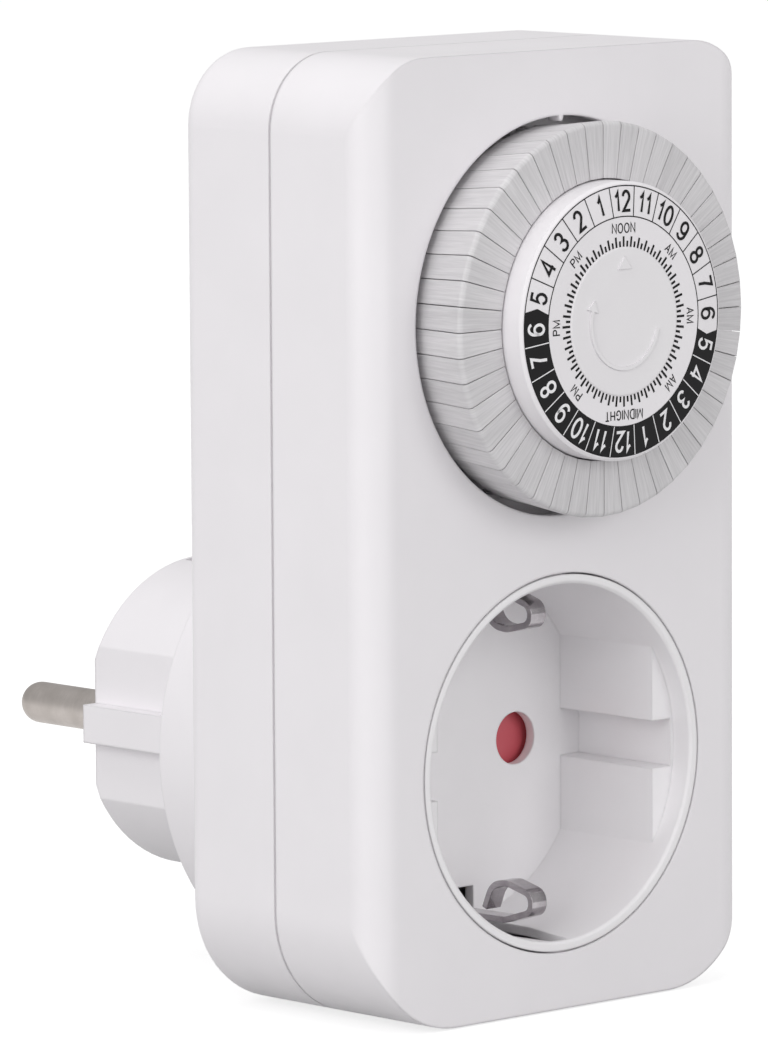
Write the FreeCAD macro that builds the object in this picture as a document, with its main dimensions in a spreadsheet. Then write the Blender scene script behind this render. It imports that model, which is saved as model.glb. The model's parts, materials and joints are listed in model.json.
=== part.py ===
import FreeCAD, Part
import math
import os
import re
import Sketcher

# Plug-in timer switch: a wall plug at the back, a 24 hour dial with push-in tabs and an
# earthed socket at the front. Millimetres. X runs to the right, Z up, and Y from the front
# face towards the wall. The origin is the middle of the plug's end face, between the pins.

Vector = FreeCAD.Vector
doc = FreeCAD.newDocument("PlugInTimer")
sheet = doc.addObject("Spreadsheet::Sheet", "Sizes")
places = doc.addObject("App::VarSet", "Places")
size_names = []
place_names = []
pieces = []


def size(name, number, note):
    """Write one driving size into the sheet."""
    row = str(len(size_names) + 1)
    sheet.set("A" + row, note)
    sheet.set("B" + row, str(number))
    sheet.setAlias("B" + row, name)
    size_names.append(name)


def place(name, formula):
    """A distance that follows from the driving sizes."""
    places.addProperty("App::PropertyFloat", name, "Places")
    place_names.append(name)
    places.setExpression(name, bound(formula))


def bound(formula):
    """Put the owner before every size and place that a formula names."""
    def owner(match):
        word = match.group(0)
        if word in size_names:
            return "Sizes." + word
        if word in place_names:
            return "Places." + word
        return word
    return re.sub(r"[a-z]\w*", owner, formula)


def value(name):
    """The number that a size or a place has now."""
    if name in size_names:
        return float(sheet.get(name))
    return float(getattr(places, name))


# Housing
size("housing_width", 57.9, "width of both covers")
size("housing_top", 79.2, "top of the housing above the socket axis")
size("housing_foot", 27.6, "bottom of the housing below the socket axis")
size("housing_depth", 30.4, "front face to back face")
size("housing_wall", 2.0, "wall of both covers")
size("corner_top", 8.4, "upper corner radius seen from the front")
size("corner_foot", 12.4, "lower corner radius seen from the front")
size("edge_round", 3.8, "round of the upright front edges")
size("back_round", 2.2, "round of the back edge")
size("parting_depth", 15.9, "front face to the line where the covers meet")
size("groove_width", 0.5, "shadow line between the covers")
size("groove_depth", 0.4, "depth of the shadow line")
size("lip_height", 1.6, "tongue of the back cover inside the front cover")
size("lip_wall", 1.0, "thickness of that tongue")
size("slip", 0.1, "clearance of plastic pieces that seat in each other")
size("play", 0.05, "running clearance on a radius")
size("gap", 0.3, "free space between pieces that only pass each other")
size("over", 1.0, "how far a cutting form runs past the face that it cuts")
size("bite", 0.5, "how far a joined form runs into its neighbour")

# Plug
size("pedestal_radius", 27.2, "round foot of the plug")
size("pedestal_height", 7.1, "how far the foot stands out of the back cover")
size("insert_radius", 18.0, "round part that enters the wall socket")
size("insert_length", 23.4, "length of that part")
size("insert_flat", 15.7, "axis to the flat sides")
size("insert_wall", 2.0, "wall of the round part")
size("rim_cut", 0.7, "bevel of the plug's round edges")
size("guide_width", 4.4, "guide rib on each flat side")
size("guide_height", 1.85, "how far the guide rib stands out")
size("pin_radius", 2.4, "plug pin")
size("pin_length", 19.0, "plug pin beyond the end face")
size("pin_spacing", 19.0, "axis to axis of the pins")
size("tail_radius", 1.7, "riveted end of a pin")
size("collar_radius", 3.4, "shoulder of a pin inside the plug")
size("collar_width", 1.7, "thickness of the shoulder")
size("carrier_width", 1.8, "plate that clamps the pins")

# Socket
size("well_radius", 20.0, "inside of the socket well")
size("well_wall", 1.05, "wall and visible rim of the well")
size("ring_gap", 0.2, "gap round the rim in the front face")
size("well_depth", 17.5, "front face to the floor of the well")
size("floor_width", 1.3, "thickness of the floor")
size("flange_radius", 22.6, "flange behind the front cover")
size("flange_width", 1.2, "thickness of the flange")
size("flat_reach", 16.6, "axis to the flat side walls")
size("flat_start", 2.7, "front face to the start of the flat walls")
size("flat_half", 11.4, "half height of the block behind a flat wall")
size("guide_reach", 19.5, "axis to the bottom of the guide groove")
size("guide_half", 2.7, "half height of the guide groove")
size("hole_radius", 3.0, "entry hole for a plug pin")
size("slot_front", 0.8, "front face to the tip of an earth slot")
size("slot_half", 2.8, "half width of an earth slot")
size("slot_tip", 1.3, "half width of the slot at its front end")
size("slot_low", 16.1, "axis to the near side of the earth slot in the floor")
size("slot_bend", 8.7, "front face to where the slot has its full width")

# Shutter behind the pin holes
size("shutter_gap", 0.8, "floor of the well to the shutter")
size("shutter_radius", 13.3, "tip of the shutter arms")
size("shutter_half", 3.7, "half width of an arm")
size("shutter_width", 1.4, "thickness of the shutter")
size("shutter_hub", 5.4, "round middle of the shutter")
size("stud_radius", 1.5, "stud that the shutter turns on")
size("cage_radius", 15.3, "cage that holds the shutter")
size("cage_wall", 1.1, "wall and lid of the cage")
size("spring_radius", 2.4, "middle of the shutter spring")
size("spring_wire", 0.7, "thickness of the coiled spring pack")

# Earth clips and strips
size("earth_width", 2.2, "width of a socket earth clip")
size("earth_strip", 0.7, "thickness of the clip")
size("clip_crown", 14.6, "axis to the middle of the clip's crown")
size("clip_nose", 4.2, "front face to the middle of the clip's nose")
size("clip_back", 11.6, "front face to the middle of the clip's back bend")
size("clip_foot", 18.7, "axis to the leg that runs along the wall")
size("clip_heel", 2.9, "length of the clip's heel against the earth bar")
size("clip_bow", 8.4, "front face to where the clip leaves the wall")
size("nose_out", 1.5, "leg to the outer corner of the clip's nose")
size("nose_in", 0.6, "crown to the inner corner of the clip's nose")
size("clip_crest", 0.3, "how far the crest bows past the crown")
size("crest_back", 1.2, "back bend to the end of the crest")
size("clip_end", 1.2, "leg to the free end of the clip")
size("clip_round", 1.2, "bend radius of the clip's nose")
size("clip_sweep", 2.4, "bend radius of the clip's crest")
size("bend_round", 0.7, "bend radius of bars")
size("bar_reach", 1.9, "shutter cage to the earth bar")
size("bar_width", 5.0, "width of the earth bar and of the plug's earth strips")
size("bar_strip", 0.6, "thickness of the bars")
size("leg_height", 14.1, "axis to the legs of the earth bar")
size("strip_height", 17.4, "axis to the plug's earth strips")
size("strip_length", 10.7, "length of a plug earth strip")
size("strip_end", 4.8, "end face to the tip of the plug's earth strips")
size("strip_ramp", 1.3, "slope between the foot of the strip and the strip")
size("strip_foot", 2.0, "foot of the strip on the earth bar")
size("recess_end", 1.4, "end face to the end of an earth recess")

# Contacts
size("leaf_strip", 0.5, "thickness of a spring contact")
size("leaf_width", 5.0, "width of a spring contact")
size("leaf_length", 11.4, "length of a socket contact")
size("leaf_half", 2.75, "axis to the middle of a leaf")
size("leaf_gap", 0.9, "shutter cage to the socket contacts")
size("leaf_flare", 1.3, "how far a contact's mouth opens")
size("flare_length", 2.4, "length of that mouth")
size("leaf_round", 1.2, "bend radius of a socket contact")
size("bar_edge", 0.6, "middle of a leaf to the edge of the bar behind it")
size("bar_ledge", 10.2, "height of the live bar's lower run")
size("riser_gap", 1.0, "blade's edge to the bend of the live bar")
size("rivet_radius", 1.6, "contact rivet")
size("rivet_width", 0.5, "height of the moving contact rivet")
size("blade_strip", 0.4, "thickness of the moving blade")
size("blade_width", 4.0, "width of the moving blade")
size("blade_gap", 0.25, "load bar to the root of the blade")
size("blade_tip", 6.6, "middle plane to the tip of the blade")
size("rivet_side", 5.0, "middle plane to the contact rivets")
size("switch_height", 27.5, "height of the blade above the socket axis")
size("contact_gap", 2.2, "open gap between the rivets")
size("blade_reach", 1.75, "lever pivot to the moving blade")

# Dial
size("dial_height", 49.8, "dial axis above the socket axis")
size("opening_radius", 22.1, "round opening in the front face")
size("pointer_reach", 0.62, "how far the time pointer reaches into the opening")
size("pointer_half", 0.5, "half width of the pointer at the opening")
size("tab_count", 48, "push-in tabs, one for each half hour")
size("tab_radius", 21.75, "outside of a tab at its front")
size("tab_waist", 21.05, "outside of a tab at the front face")
size("tab_inner", 15.5, "inner end of a tab")
size("tab_proud", 6.6, "tab front above the front face")
size("tab_back", 1.6, "front face to the back of the tab heads")
size("tab_bevel", 0.45, "bevel round the front of the tabs")
size("tab_gap", 0.5, "angle left free between two tabs")
size("tab_travel", 3.0, "how far a tab is pushed in")
size("stem_half", 0.62, "half width of a tab stem")
size("stem_low", 17.0, "inner end of a stem")
size("stem_high", 20.6, "outer end of a stem")
size("stem_show", 0.3, "stem end behind the web when the tab is out")
size("face_radius", 15.35, "raised dial face")
size("face_proud", 9.7, "dial face above the front face")
size("face_slope", 0.3, "how far the number ring falls towards its rim")
size("face_flat", 11.5, "inner edge of the sloping number ring")
size("face_wall", 1.25, "wall of the dial face")
size("cap_radius", 8.15, "centre cap")
size("cap_proud", 0.32, "centre cap above the dial face")
size("web_radius", 23.2, "web that guides the tab stems")
size("web_depth", 5.0, "front face to the web")
size("web_width", 4.0, "thickness of the web")
size("neck_radius", 10.0, "neck between the web and the dial gear")
size("boss_wall", 1.5, "wall of the dial's front boss")
size("hub_radius", 5.0, "hub round the axle")
size("hub_step", 1.0, "how much thinner the hub is at the plate")
size("axle_radius", 2.0, "dial axle")
size("axle_head", 3.2, "head of the dial axle")
size("head_width", 1.0, "thickness of that head")

# Gears
size("dial_teeth", 52, "teeth of the dial gear")
size("pinion_teeth", 12, "teeth of both pinions")
size("wheel_teeth", 30, "teeth of the transfer wheel")
size("dial_module", 0.7, "module of the dial gear and the transfer pinion")
size("motor_module", 0.4, "module of the transfer wheel and the motor pinion")
size("tooth_head", 0.75, "tooth height above the pitch circle, in modules")
size("tooth_foot", 1.05, "tooth depth below the pitch circle, in modules")
size("backlash", 0.12, "free play between the teeth, in modules")
size("pressure_angle", 20, "slope of the tooth flanks")
size("gear_width", 1.6, "width of the dial gear")
size("wheel_width", 1.1, "width of the transfer wheel")
size("train_angle", 45, "direction from the dial axis to the transfer axis")
size("pinion_bore", 1.0, "pin of the transfer gear")
size("shaft_radius", 0.9, "shaft of the motor pinion")
size("shaft_seat", 3.5, "how far the shaft enters the motor")

# Mechanism plate, motor and switch lever
size("plate_width", 1.6, "thickness of the mechanism plate")
size("plate_low", 22.4, "lower edge of the plate above the socket axis")
size("motor_radius", 20.0, "motor can")
size("motor_depth", 9.6, "depth of the motor can")
size("motor_rise", 2.2, "motor centre above the dial axis")
size("pivot_height", 23.8, "lever pivot above the socket axis")
size("pivot_radius", 0.75, "lever pin")
size("lever_hub", 1.6, "round middle of the lever")
size("lever_half", 1.5, "half width of the lever arm")
size("lever_side", 1.0, "how far the hub is wider than the arm on each side")
size("arm_half", 0.8, "half thickness of the lever arm at its hub")
size("bump_low", 1.6, "blade's middle to the lower edge of the lever's bump")
size("bump_high", 1.1, "blade's middle to the upper edge of the lever's bump")
size("shoulder_rise", 0.9, "blade's middle to the shoulder of the lever")
size("nose_half", 0.45, "half width of the lever's nose")
size("nose_reach", 5.8, "pivot to the middle of the nose")
size("nose_round", 0.6, "round end of the nose")
size("lug_width", 1.2, "lugs that hold the lever pin")

# Screws and bosses
size("boss_side", 21.9, "middle plane to the screws")
size("boss_top", 5.6, "top face to the upper screws")
size("boss_foot", 6.9, "bottom face to the lower screws")
size("boss_radius", 2.9, "screw bosses")
size("screw_radius", 1.3, "screw shank")
size("screw_head", 2.3, "screw head")
size("head_depth", 7.0, "back face to the screw heads")
size("head_height", 1.6, "height of a screw head")
size("screw_reach", 6.0, "how far a screw enters the front boss")
doc.recompute()

# Where things sit along Y, from the front face to the plug's end face at Y = 0
place("front", "-(housing_depth + pedestal_height + insert_length)")
place("parting", "front + parting_depth")
place("back", "front + housing_depth")
place("collar", "back + pedestal_height")
place("half_width", "housing_width / 2")
place("cavity_front", "front + housing_wall")
place("cavity_back", "back - housing_wall")
place("pin_side", "pin_spacing / 2")
place("well_floor", "front + well_depth")
place("floor_back", "well_floor + floor_width")
place("shutter_front", "floor_back + shutter_gap")
place("shutter_back", "shutter_front + shutter_width")
place("cage_front", "shutter_back + slip")
place("cage_back", "cage_front + cage_wall")
place("tab_face", "front - tab_proud")
place("face_front", "front - face_proud")
place("boss_front", "face_front + face_wall + slip")
place("web_front", "front + web_depth")
place("web_back", "web_front + web_width")
place("stem_end", "web_back + stem_show")
place("gear_front", "stem_end + tab_travel + gap")
place("gear_back", "gear_front + gear_width")
place("wheel_front", "gear_back + slip * 2")
place("wheel_back", "wheel_front + wheel_width")
place("plate_front", "wheel_back + slip * 3")
place("plate_back", "plate_front + plate_width")
place("motor_back", "plate_back + motor_depth")
place("motor_height", "dial_height + motor_rise")
place("dial_pitch", "dial_teeth * dial_module / 2")
place("train_reach", "dial_pitch + pinion_teeth * dial_module / 2")
place("train_side", "train_reach * cos(train_angle)")
place("train_height", "dial_height + train_reach * sin(train_angle)")
place("motor_reach", "(wheel_teeth + pinion_teeth) * motor_module / 2")
place("shaft_side", "train_side - motor_reach * cos(train_angle)")
place("shaft_height", "train_height - motor_reach * sin(train_angle)")
place("nose_rise", "tab_travel / 2")
place("pivot_depth", "stem_end + gap / 2 + nose_round + nose_rise")
place("blade_front", "pivot_depth + blade_reach")
place("blade_back", "blade_front + blade_strip")
place("rivet_face", "blade_back + rivet_width")
place("fixed_face", "rivet_face + contact_gap")
place("tail_end", "-(insert_wall + 2 * slip + collar_width + carrier_width + slip)")
place("strip_start", "-(strip_end + strip_length)")
place("boss_high", "housing_top - boss_top")
place("boss_deep", "housing_foot - boss_foot")
doc.recompute()


def shape_of(kind, name):
    return doc.addObject(kind, name)


def box(name, x, y, z):
    """A block between pairs of formulas."""
    solid = shape_of("Part::Box", name)
    for side, axis, span in (("Length", "x", x), ("Width", "y", y), ("Height", "z", z)):
        low, high = bound(span[0]), bound(span[1])
        solid.setExpression(side, "(%s) - (%s)" % (high, low))
        solid.setExpression("Placement.Base." + axis, low)
    return solid


AXIS_TURNS = {
    "x": FreeCAD.Rotation(Vector(0, 1, 0), 90),
    "y": FreeCAD.Rotation(Vector(1, 0, 0), -90),
    "z": FreeCAD.Rotation(),
}


def rod(name, axis, centre, radius, low, high):
    """A cylinder along one axis, from low to high; centre gives the other two places."""
    solid = shape_of("Part::Cylinder", name)
    solid.Placement = FreeCAD.Placement(Vector(), AXIS_TURNS[axis])
    solid.setExpression("Radius", bound(radius))
    solid.setExpression("Height", "(%s) - (%s)" % (bound(high), bound(low)))
    others = [letter for letter in "xyz" if letter != axis]
    solid.setExpression("Placement.Base." + axis, bound(low))
    solid.setExpression("Placement.Base." + others[0], bound(centre[0]))
    solid.setExpression("Placement.Base." + others[1], bound(centre[1]))
    return solid


def fuse(name, shapes):
    joined = shape_of("Part::MultiFuse", name)
    joined.Shapes = shapes
    joined.Refine = True
    return joined


def common(name, shapes):
    shared = shape_of("Part::MultiCommon", name)
    shared.Shapes = shapes
    shared.Refine = True
    return shared


def cut(name, base, tools):
    """Take the tools away from the base."""
    removed = shape_of("Part::Cut", name)
    removed.Base = base
    removed.Tool = tools[0] if len(tools) == 1 else fuse(name + "_tools", tools)
    removed.Refine = True
    return removed


def origin_plane(body, role):
    for feature in body.Origin.OriginFeatures:
        if feature.Role == role:
            return feature
    raise ValueError(role)


def outline(body, role, points, name):
    """A closed sketch of straight lines whose corners are bound to formulas."""
    sketch = body.newObject("Sketcher::SketchObject", name)
    sketch.AttachmentSupport = [(origin_plane(body, role), "")]
    sketch.MapMode = "FlatFace"
    numbers = [(number_of(a), number_of(b)) for a, b in points]
    count = len(points)
    for index in range(count):
        start = Vector(*numbers[index], 0)
        end = Vector(*numbers[(index + 1) % count], 0)
        sketch.addGeometry(Part.LineSegment(start, end), False)
    for index in range(count):
        link = Sketcher.Constraint("Coincident", index, 2, (index + 1) % count, 1)
        sketch.addConstraint(link)
    for index in range(count):
        for kind, step in (("DistanceX", 0), ("DistanceY", 1)):
            limit = Sketcher.Constraint(kind, index, 1, numbers[index][step])
            number = sketch.addConstraint(limit)
            sketch.setExpression("Constraints[%d]" % number, bound(points[index][step]))
    return sketch


scratch = doc.addObject("App::VarSet", "Reader")
scratch.addProperty("App::PropertyFloat", "number", "Reader")


def number_of(formula):
    """The number that a formula gives now."""
    scratch.setExpression("number", bound(formula))
    scratch.recompute()
    return scratch.number


def new_body(name, height=None):
    body = doc.addObject("PartDesign::Body", name)
    if height:
        body.setExpression("Placement.Base.z", bound(height))
    return body


def turned(name, points, height=None):
    """A body turned about the Y direction; points are pairs of place along Y and radius."""
    body = new_body(name, height)
    sketch = outline(body, "YZ_Plane", points, name + "_profile")
    turn = body.newObject("PartDesign::Revolution", name + "_turn")
    turn.Profile = sketch
    turn.ReferenceAxis = (sketch, ["H_Axis"])
    turn.Angle = 360.0
    body.Tip = turn
    doc.recompute()
    return body


def edges_where(shape, test):
    return ["Edge%d" % (i + 1) for i, edge in enumerate(shape.Edges) if test(edge)]


def runs_along(edge, direction):
    if not isinstance(edge.Curve, Part.Line):
        return False
    return abs(edge.Curve.Direction.dot(direction)) > 0.999


def rounded(body, base, edges, radius, name):
    """A fillet whose radius is bound to a formula."""
    fillet = body.newObject("PartDesign::Fillet", name)
    fillet.Base = (base, edges)
    fillet.setExpression("Radius", bound(radius))
    body.Tip = fillet
    doc.recompute()
    return fillet


def padded_outline(name, role, points, length, offset_axis=None, offset=None):
    body = new_body(name)
    if offset:
        body.setExpression("Placement.Base." + offset_axis, bound(offset))
    sketch = outline(body, role, points, name + "_outline")
    pad = body.newObject("PartDesign::Pad", name + "_pad")
    pad.Profile = sketch
    pad.setExpression("Length", bound(length))
    pad.Reversed = role == "XZ_Plane"
    body.Tip = pad
    doc.recompute()
    return body, pad


def front_block(name, inset, low, high):
    """The front view's rounded rectangle, drawn in by an inset, from low to high along Y."""
    side = "half_width - (%s)" % inset
    top = "housing_top - (%s)" % inset
    foot = "housing_foot - (%s)" % inset
    points = [("-(%s)" % side, "-(%s)" % foot), (side, "-(%s)" % foot)]
    points += [(side, top), ("-(%s)" % side, top)]
    length = "(%s) - (%s)" % (high, low)
    body, pad = padded_outline(name, "XZ_Plane", points, length, "y", low)
    middle = pad.Shape.BoundBox.Center.z
    for part, above in (("foot", False), ("top", True)):

        def corner(edge):
            return runs_along(edge, Vector(0, 1, 0)) and (edge.BoundBox.Center.z > middle) == above

        edges = edges_where(pad.Shape, corner)
        pad = rounded(body, pad, edges, "corner_%s - (%s)" % (part, inset), "%s_%s_corners" % (name, part))
    return body, pad


def housing_form():
    """The outside of both covers: a rounded front view meets a plan with round front edges."""
    block, corners = front_block("form_block", "0", "front", "back")
    rear = corners.Shape.BoundBox.YMax
    loop = edges_where(corners.Shape, lambda edge: edge.BoundBox.YMin > rear - 0.001)
    rounded(block, corners, loop, "back_round", "form_back_edge")
    side = "half_width"
    reach = "back + housing_wall"
    points = [("-" + side, "front"), (side, "front"), (side, reach), ("-" + side, reach)]
    length = "housing_top + housing_foot"
    plan, pad = padded_outline("form_plan", "XY_Plane", points, length, "z", "-housing_foot")
    low = pad.Shape.BoundBox.YMin

    def front_upright(edge):
        return runs_along(edge, Vector(0, 0, 1)) and edge.BoundBox.YMax < low + 0.001

    rounded(plan, pad, edges_where(pad.Shape, front_upright), "edge_round", "form_edges")
    return common("form", [block, plan])


def keep(name, thing):
    """Name a finished piece; its label is the name of its file."""
    thing.Label = name
    pieces.append(thing)
    return thing


SCREWS = [("-boss_side", "boss_high"), ("boss_side", "boss_high")]
SCREWS += [("-boss_side", "-boss_deep"), ("boss_side", "-boss_deep")]


def make_covers():
    """Front and back cover: one shell parted across, with a tongue, bosses and the plug."""
    form = housing_form()
    cavity = front_block("cavity", "housing_wall", "cavity_front", "cavity_back")[0]
    shell = cut("shell", form, [cavity])
    wide = ("-housing_width", "housing_width")
    tall = ("-2 * housing_foot", "2 * housing_top")
    front_half = box("front_half", wide, ("front - over", "parting"), tall)
    back_half = box("back_half", wide, ("parting", "back + over"), tall)
    band = box("groove_band", wide, ("parting - groove_width / 2", "parting"), tall)
    core = front_block("groove_core", "groove_depth", "front", "back")[0]
    groove = cut("groove", band, [core])

    pillars = []
    pilots = []
    for index, (side, height) in enumerate(SCREWS):
        name = "pillar_%d" % index
        pillars.append(rod(name, "y", (side, height), "boss_radius", "cavity_front - bite", "parting"))
        reach = "parting - screw_reach - over"
        pilots.append(rod(name + "_pilot", "y", (side, height), "screw_radius + slip / 2",
                          reach, "parting + over"))
    front_shell = common("front_shell", [shell, front_half])
    solid = fuse("front_solid", [front_shell] + pillars)
    dial_hole = rod("dial_hole", "y", ("0", "dial_height"), "opening_radius",
                    "front - over", "cavity_front + over")
    socket_hole = rod("socket_hole", "y", ("0", "0"), "well_radius + well_wall + ring_gap",
                      "front - over", "cavity_front + over")
    open_front = cut("front_open", solid, [dial_hole, socket_hole, groove] + pilots)
    pointer = time_pointer()
    keep("front_cover", fuse("front_cover_solid", [open_front, pointer]))

    back_shell = common("back_shell", [shell, back_half])
    tongue_low = "parting - lip_height"
    tongue_out = front_block("tongue_out", "housing_wall + slip", tongue_low, "parting + lip_height")[0]
    tongue_in = front_block("tongue_in", "housing_wall + slip + lip_wall", tongue_low + " - over",
                            "parting + lip_height + over")[0]
    tongue_root = front_block("tongue_root", "housing_wall", "parting", "parting + lip_height")[0]
    corners = [rod("tongue_gap_%d" % index, "y", centre, "boss_radius + slip * 2",
                   tongue_low + " - over", "parting") for index, centre in enumerate(SCREWS)]
    tongue = cut("tongue", fuse("tongue_block", [tongue_out, tongue_root]), [tongue_in] + corners)
    plug = plug_form()
    bosses = []
    holes = []
    for index, (side, height) in enumerate(SCREWS):
        name = "boss_%d" % index
        centre = (side, height)
        bosses.append(rod(name, "y", centre, "boss_radius", "parting", "back - back_round / 2"))
        holes.append(rod(name + "_bore", "y", centre, "screw_radius + slip",
                         "parting - over", "back + over"))
        holes.append(rod(name + "_head", "y", centre, "screw_head + slip",
                         "back - head_depth", "back + over"))
    body = fuse("back_solid", [back_shell, tongue, plug[0]] + bosses)
    keep("rear_cover", cut("rear_cover_solid", body, plug[1] + holes))


def time_pointer():
    """A small wedge that reaches into the dial opening at the top and marks the time."""
    top = "dial_height + opening_radius"
    tip = top + " - pointer_reach"
    points = [("-pointer_half", top + " + gap"), ("-pointer_half / 3", tip)]
    points += [("pointer_half / 3", tip), ("pointer_half", top + " + gap")]
    return padded_outline("pointer", "XZ_Plane", points, "housing_wall - slip * 2", "y", "front")[0]


def plug_form():
    """Round foot and round insert with flat sides, guide ribs and earth recesses."""
    foot = "back - housing_wall / 2"
    points = [(foot, "0"), (foot, "pedestal_radius"), ("collar - rim_cut", "pedestal_radius")]
    points += [("collar", "pedestal_radius - rim_cut"), ("collar", "0")]
    pedestal = turned("pedestal", points)
    points = [("collar - over", "0"), ("collar - over", "insert_radius"), ("-rim_cut", "insert_radius")]
    points += [("0", "insert_radius - rim_cut"), ("0", "0")]
    insert_round = turned("insert_round", points)
    flats = box("insert_flats", ("-insert_flat", "insert_flat"), ("collar - over", "over"),
                ("-insert_radius", "insert_radius"))
    insert = common("insert", [insert_round, flats])
    rib = "insert_flat + guide_height"
    ribs = box("guide_ribs", ("-(%s)" % rib, rib), ("collar - over", "0"),
               ("-guide_width / 2", "guide_width / 2"))
    outside = fuse("plug_outside", [pedestal, insert, ribs])

    points = [("cavity_back - bite", "0"), ("cavity_back - bite", "pedestal_radius - housing_wall")]
    points += [("collar - housing_wall", "pedestal_radius - housing_wall"), ("collar - housing_wall", "0")]
    pedestal_room = turned("pedestal_room", points)
    inner = "insert_radius - insert_wall"
    room_round = rod("room_round", "y", ("0", "0"), inner, "collar - housing_wall - over", "-insert_wall")
    flat = "insert_flat - insert_wall"
    room_flats = box("room_flats", ("-(%s)" % flat, flat), ("collar - housing_wall - over * 2", "0"),
                     ("-insert_radius", "insert_radius"))
    room = common("insert_room", [room_round, room_flats])
    hollows = [pedestal_room, room]
    for side in ("-pin_side", "pin_side"):
        name = "pin_exit_%s" % ("left" if side[0] == "-" else "right")
        hollows.append(rod(name, "y", (side, "0"), "pin_radius + slip / 4", "-insert_wall - over", "over"))
    for name, sign in (("upper", ""), ("lower", "-")):
        heights = [sign + "(strip_height - bar_strip / 2)", sign + "(insert_radius + over)"]
        inward = [sign + "(leg_height + bar_strip / 2)", sign + "(insert_radius + over)"]
        if sign:
            heights.reverse()
            inward.reverse()
        entry = ("strip_start - strip_ramp / 2 - over", "strip_start + strip_ramp / 2 + bite")
        half = ("-(bar_width / 2 + gap)", "bar_width / 2 + gap")
        hollows.append(box("earth_recess_" + name, half, ("strip_start", "-recess_end"), heights))
        hollows.append(box("earth_entry_" + name, half, entry, inward))
    return outside, hollows


def make_socket():
    """The well: a cup with flat side walls, guide grooves, pin holes and earth slots."""
    rim = "well_radius + well_wall"
    bevel = "slip * 3"
    points = [("front", "well_radius + " + bevel), ("front", rim)]
    points += [("cavity_front + slip", rim), ("cavity_front + slip", "flange_radius")]
    points += [("cavity_front + slip + flange_width", "flange_radius")]
    points += [("cavity_front + slip + flange_width", rim), ("floor_back", rim), ("floor_back", "0")]
    points += [("well_floor", "0"), ("well_floor", "well_radius"), ("front + " + bevel, "well_radius")]
    cup = turned("well_cup", points)
    stud = rod("shutter_stud", "y", ("0", "0"), "stud_radius", "well_floor + bite", "cage_back")
    blocks = []
    grooves = []
    edge = "(well_radius + well_wall / 2)"
    inner = "(flat_reach - over)"
    for name, across, groove in (
            ("right", ("flat_reach", edge), (inner, "guide_reach")),
            ("left", ("-" + edge, "-flat_reach"), ("-guide_reach", "-" + inner))):
        span = ("front + flat_start", "well_floor + bite")
        blocks.append(box("flat_" + name, across, span, ("-flat_half", "flat_half")))
        grooves.append(box("groove_" + name, groove, ("front + flat_start - over", "well_floor"),
                           ("-guide_half", "guide_half")))
    round_limit = rod("flat_limit", "y", ("0", "0"), edge, "front", "floor_back")
    walls = common("flat_walls", [fuse("flat_blocks", blocks), round_limit])
    holes = []
    for side in ("-pin_side", "pin_side"):
        name = "pin_hole_%s" % ("left" if side[0] == "-" else "right")
        holes.append(rod(name, "y", (side, "0"), "hole_radius", "well_floor - over", "floor_back + over"))
    slots = []
    for name, sign in (("upper", 1), ("lower", -1)):
        slots.append(earth_slot("wall_slot_" + name, sign))
        spans = ["slot_low", "well_radius"]
        if sign < 0:
            spans = ["-well_radius", "-slot_low"]
        slots.append(box("floor_slot_" + name, ("-slot_half", "slot_half"),
                         ("well_floor - over", "floor_back + over"), spans))
    solid = fuse("well_solid", [cup, walls, stud])
    keep("socket_well", cut("socket_well_solid", solid, grooves + holes + slots))


def earth_slot(name, sign):
    """A slot in the wall of the well that narrows towards the front."""
    tip = "front + slot_front"
    points = [("-slot_tip", tip), ("slot_tip", tip), ("slot_half", "front + slot_bend")]
    points += [("slot_half", "well_floor"), ("-slot_half", "well_floor")]
    points.append(("-slot_half", "front + slot_bend"))
    low = "well_radius - over" if sign > 0 else "-(well_radius + well_wall)"
    return padded_outline(name, "XY_Plane", points, "well_wall + over", "z", low)[0]


def make_shutter():
    """A red two-armed shutter on a stud, its spring, and the cage that holds it."""
    low = "shutter_front"
    high = "shutter_back"
    arm = box("shutter_arm", ("-shutter_radius", "shutter_radius"), (low, high),
              ("-shutter_half", "shutter_half"))
    reach = rod("shutter_reach", "y", ("0", "0"), "shutter_radius", low, high)
    arms = common("shutter_arms", [arm, reach])
    hub = rod("shutter_middle", "y", ("0", "0"), "shutter_hub", low, high)
    bore = rod("shutter_bore", "y", ("0", "0"), "stud_radius + play", low + " - over", high + " + over")
    coil_front = high + " - spring_wire"
    seat = rod("spring_seat", "y", ("0", "0"), "spring_radius + spring_wire", coil_front, high + " + over")
    keep("shutter", cut("shutter_solid", fuse("shutter_blank", [arms, hub]), [bore, seat]))

    coil = rod("spring_out", "y", ("0", "0"), "spring_radius + spring_wire / 2", coil_front, high)
    middle = rod("spring_in", "y", ("0", "0"), "spring_radius - spring_wire / 2", "floor_back", "cage_back")
    keep("shutter_spring", cut("shutter_spring_solid", coil, [middle]))

    cup = rod("cage_cup", "y", ("0", "0"), "cage_radius", "floor_back", "cage_back")
    room = rod("cage_room", "y", ("0", "0"), "cage_radius - cage_wall", "floor_back - over", "cage_front")
    tools = [room, rod("cage_bore", "y", ("0", "0"), "stud_radius", "cage_front - over", "cage_back + over")]
    for side in ("-pin_side", "pin_side"):
        name = "cage_hole_%s" % ("left" if side[0] == "-" else "right")
        tools.append(rod(name, "y", (side, "0"), "hole_radius + slip",
                         "cage_front - over", "cage_back + over"))
    keep("shutter_cage", cut("shutter_cage_solid", cup, tools))


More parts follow.
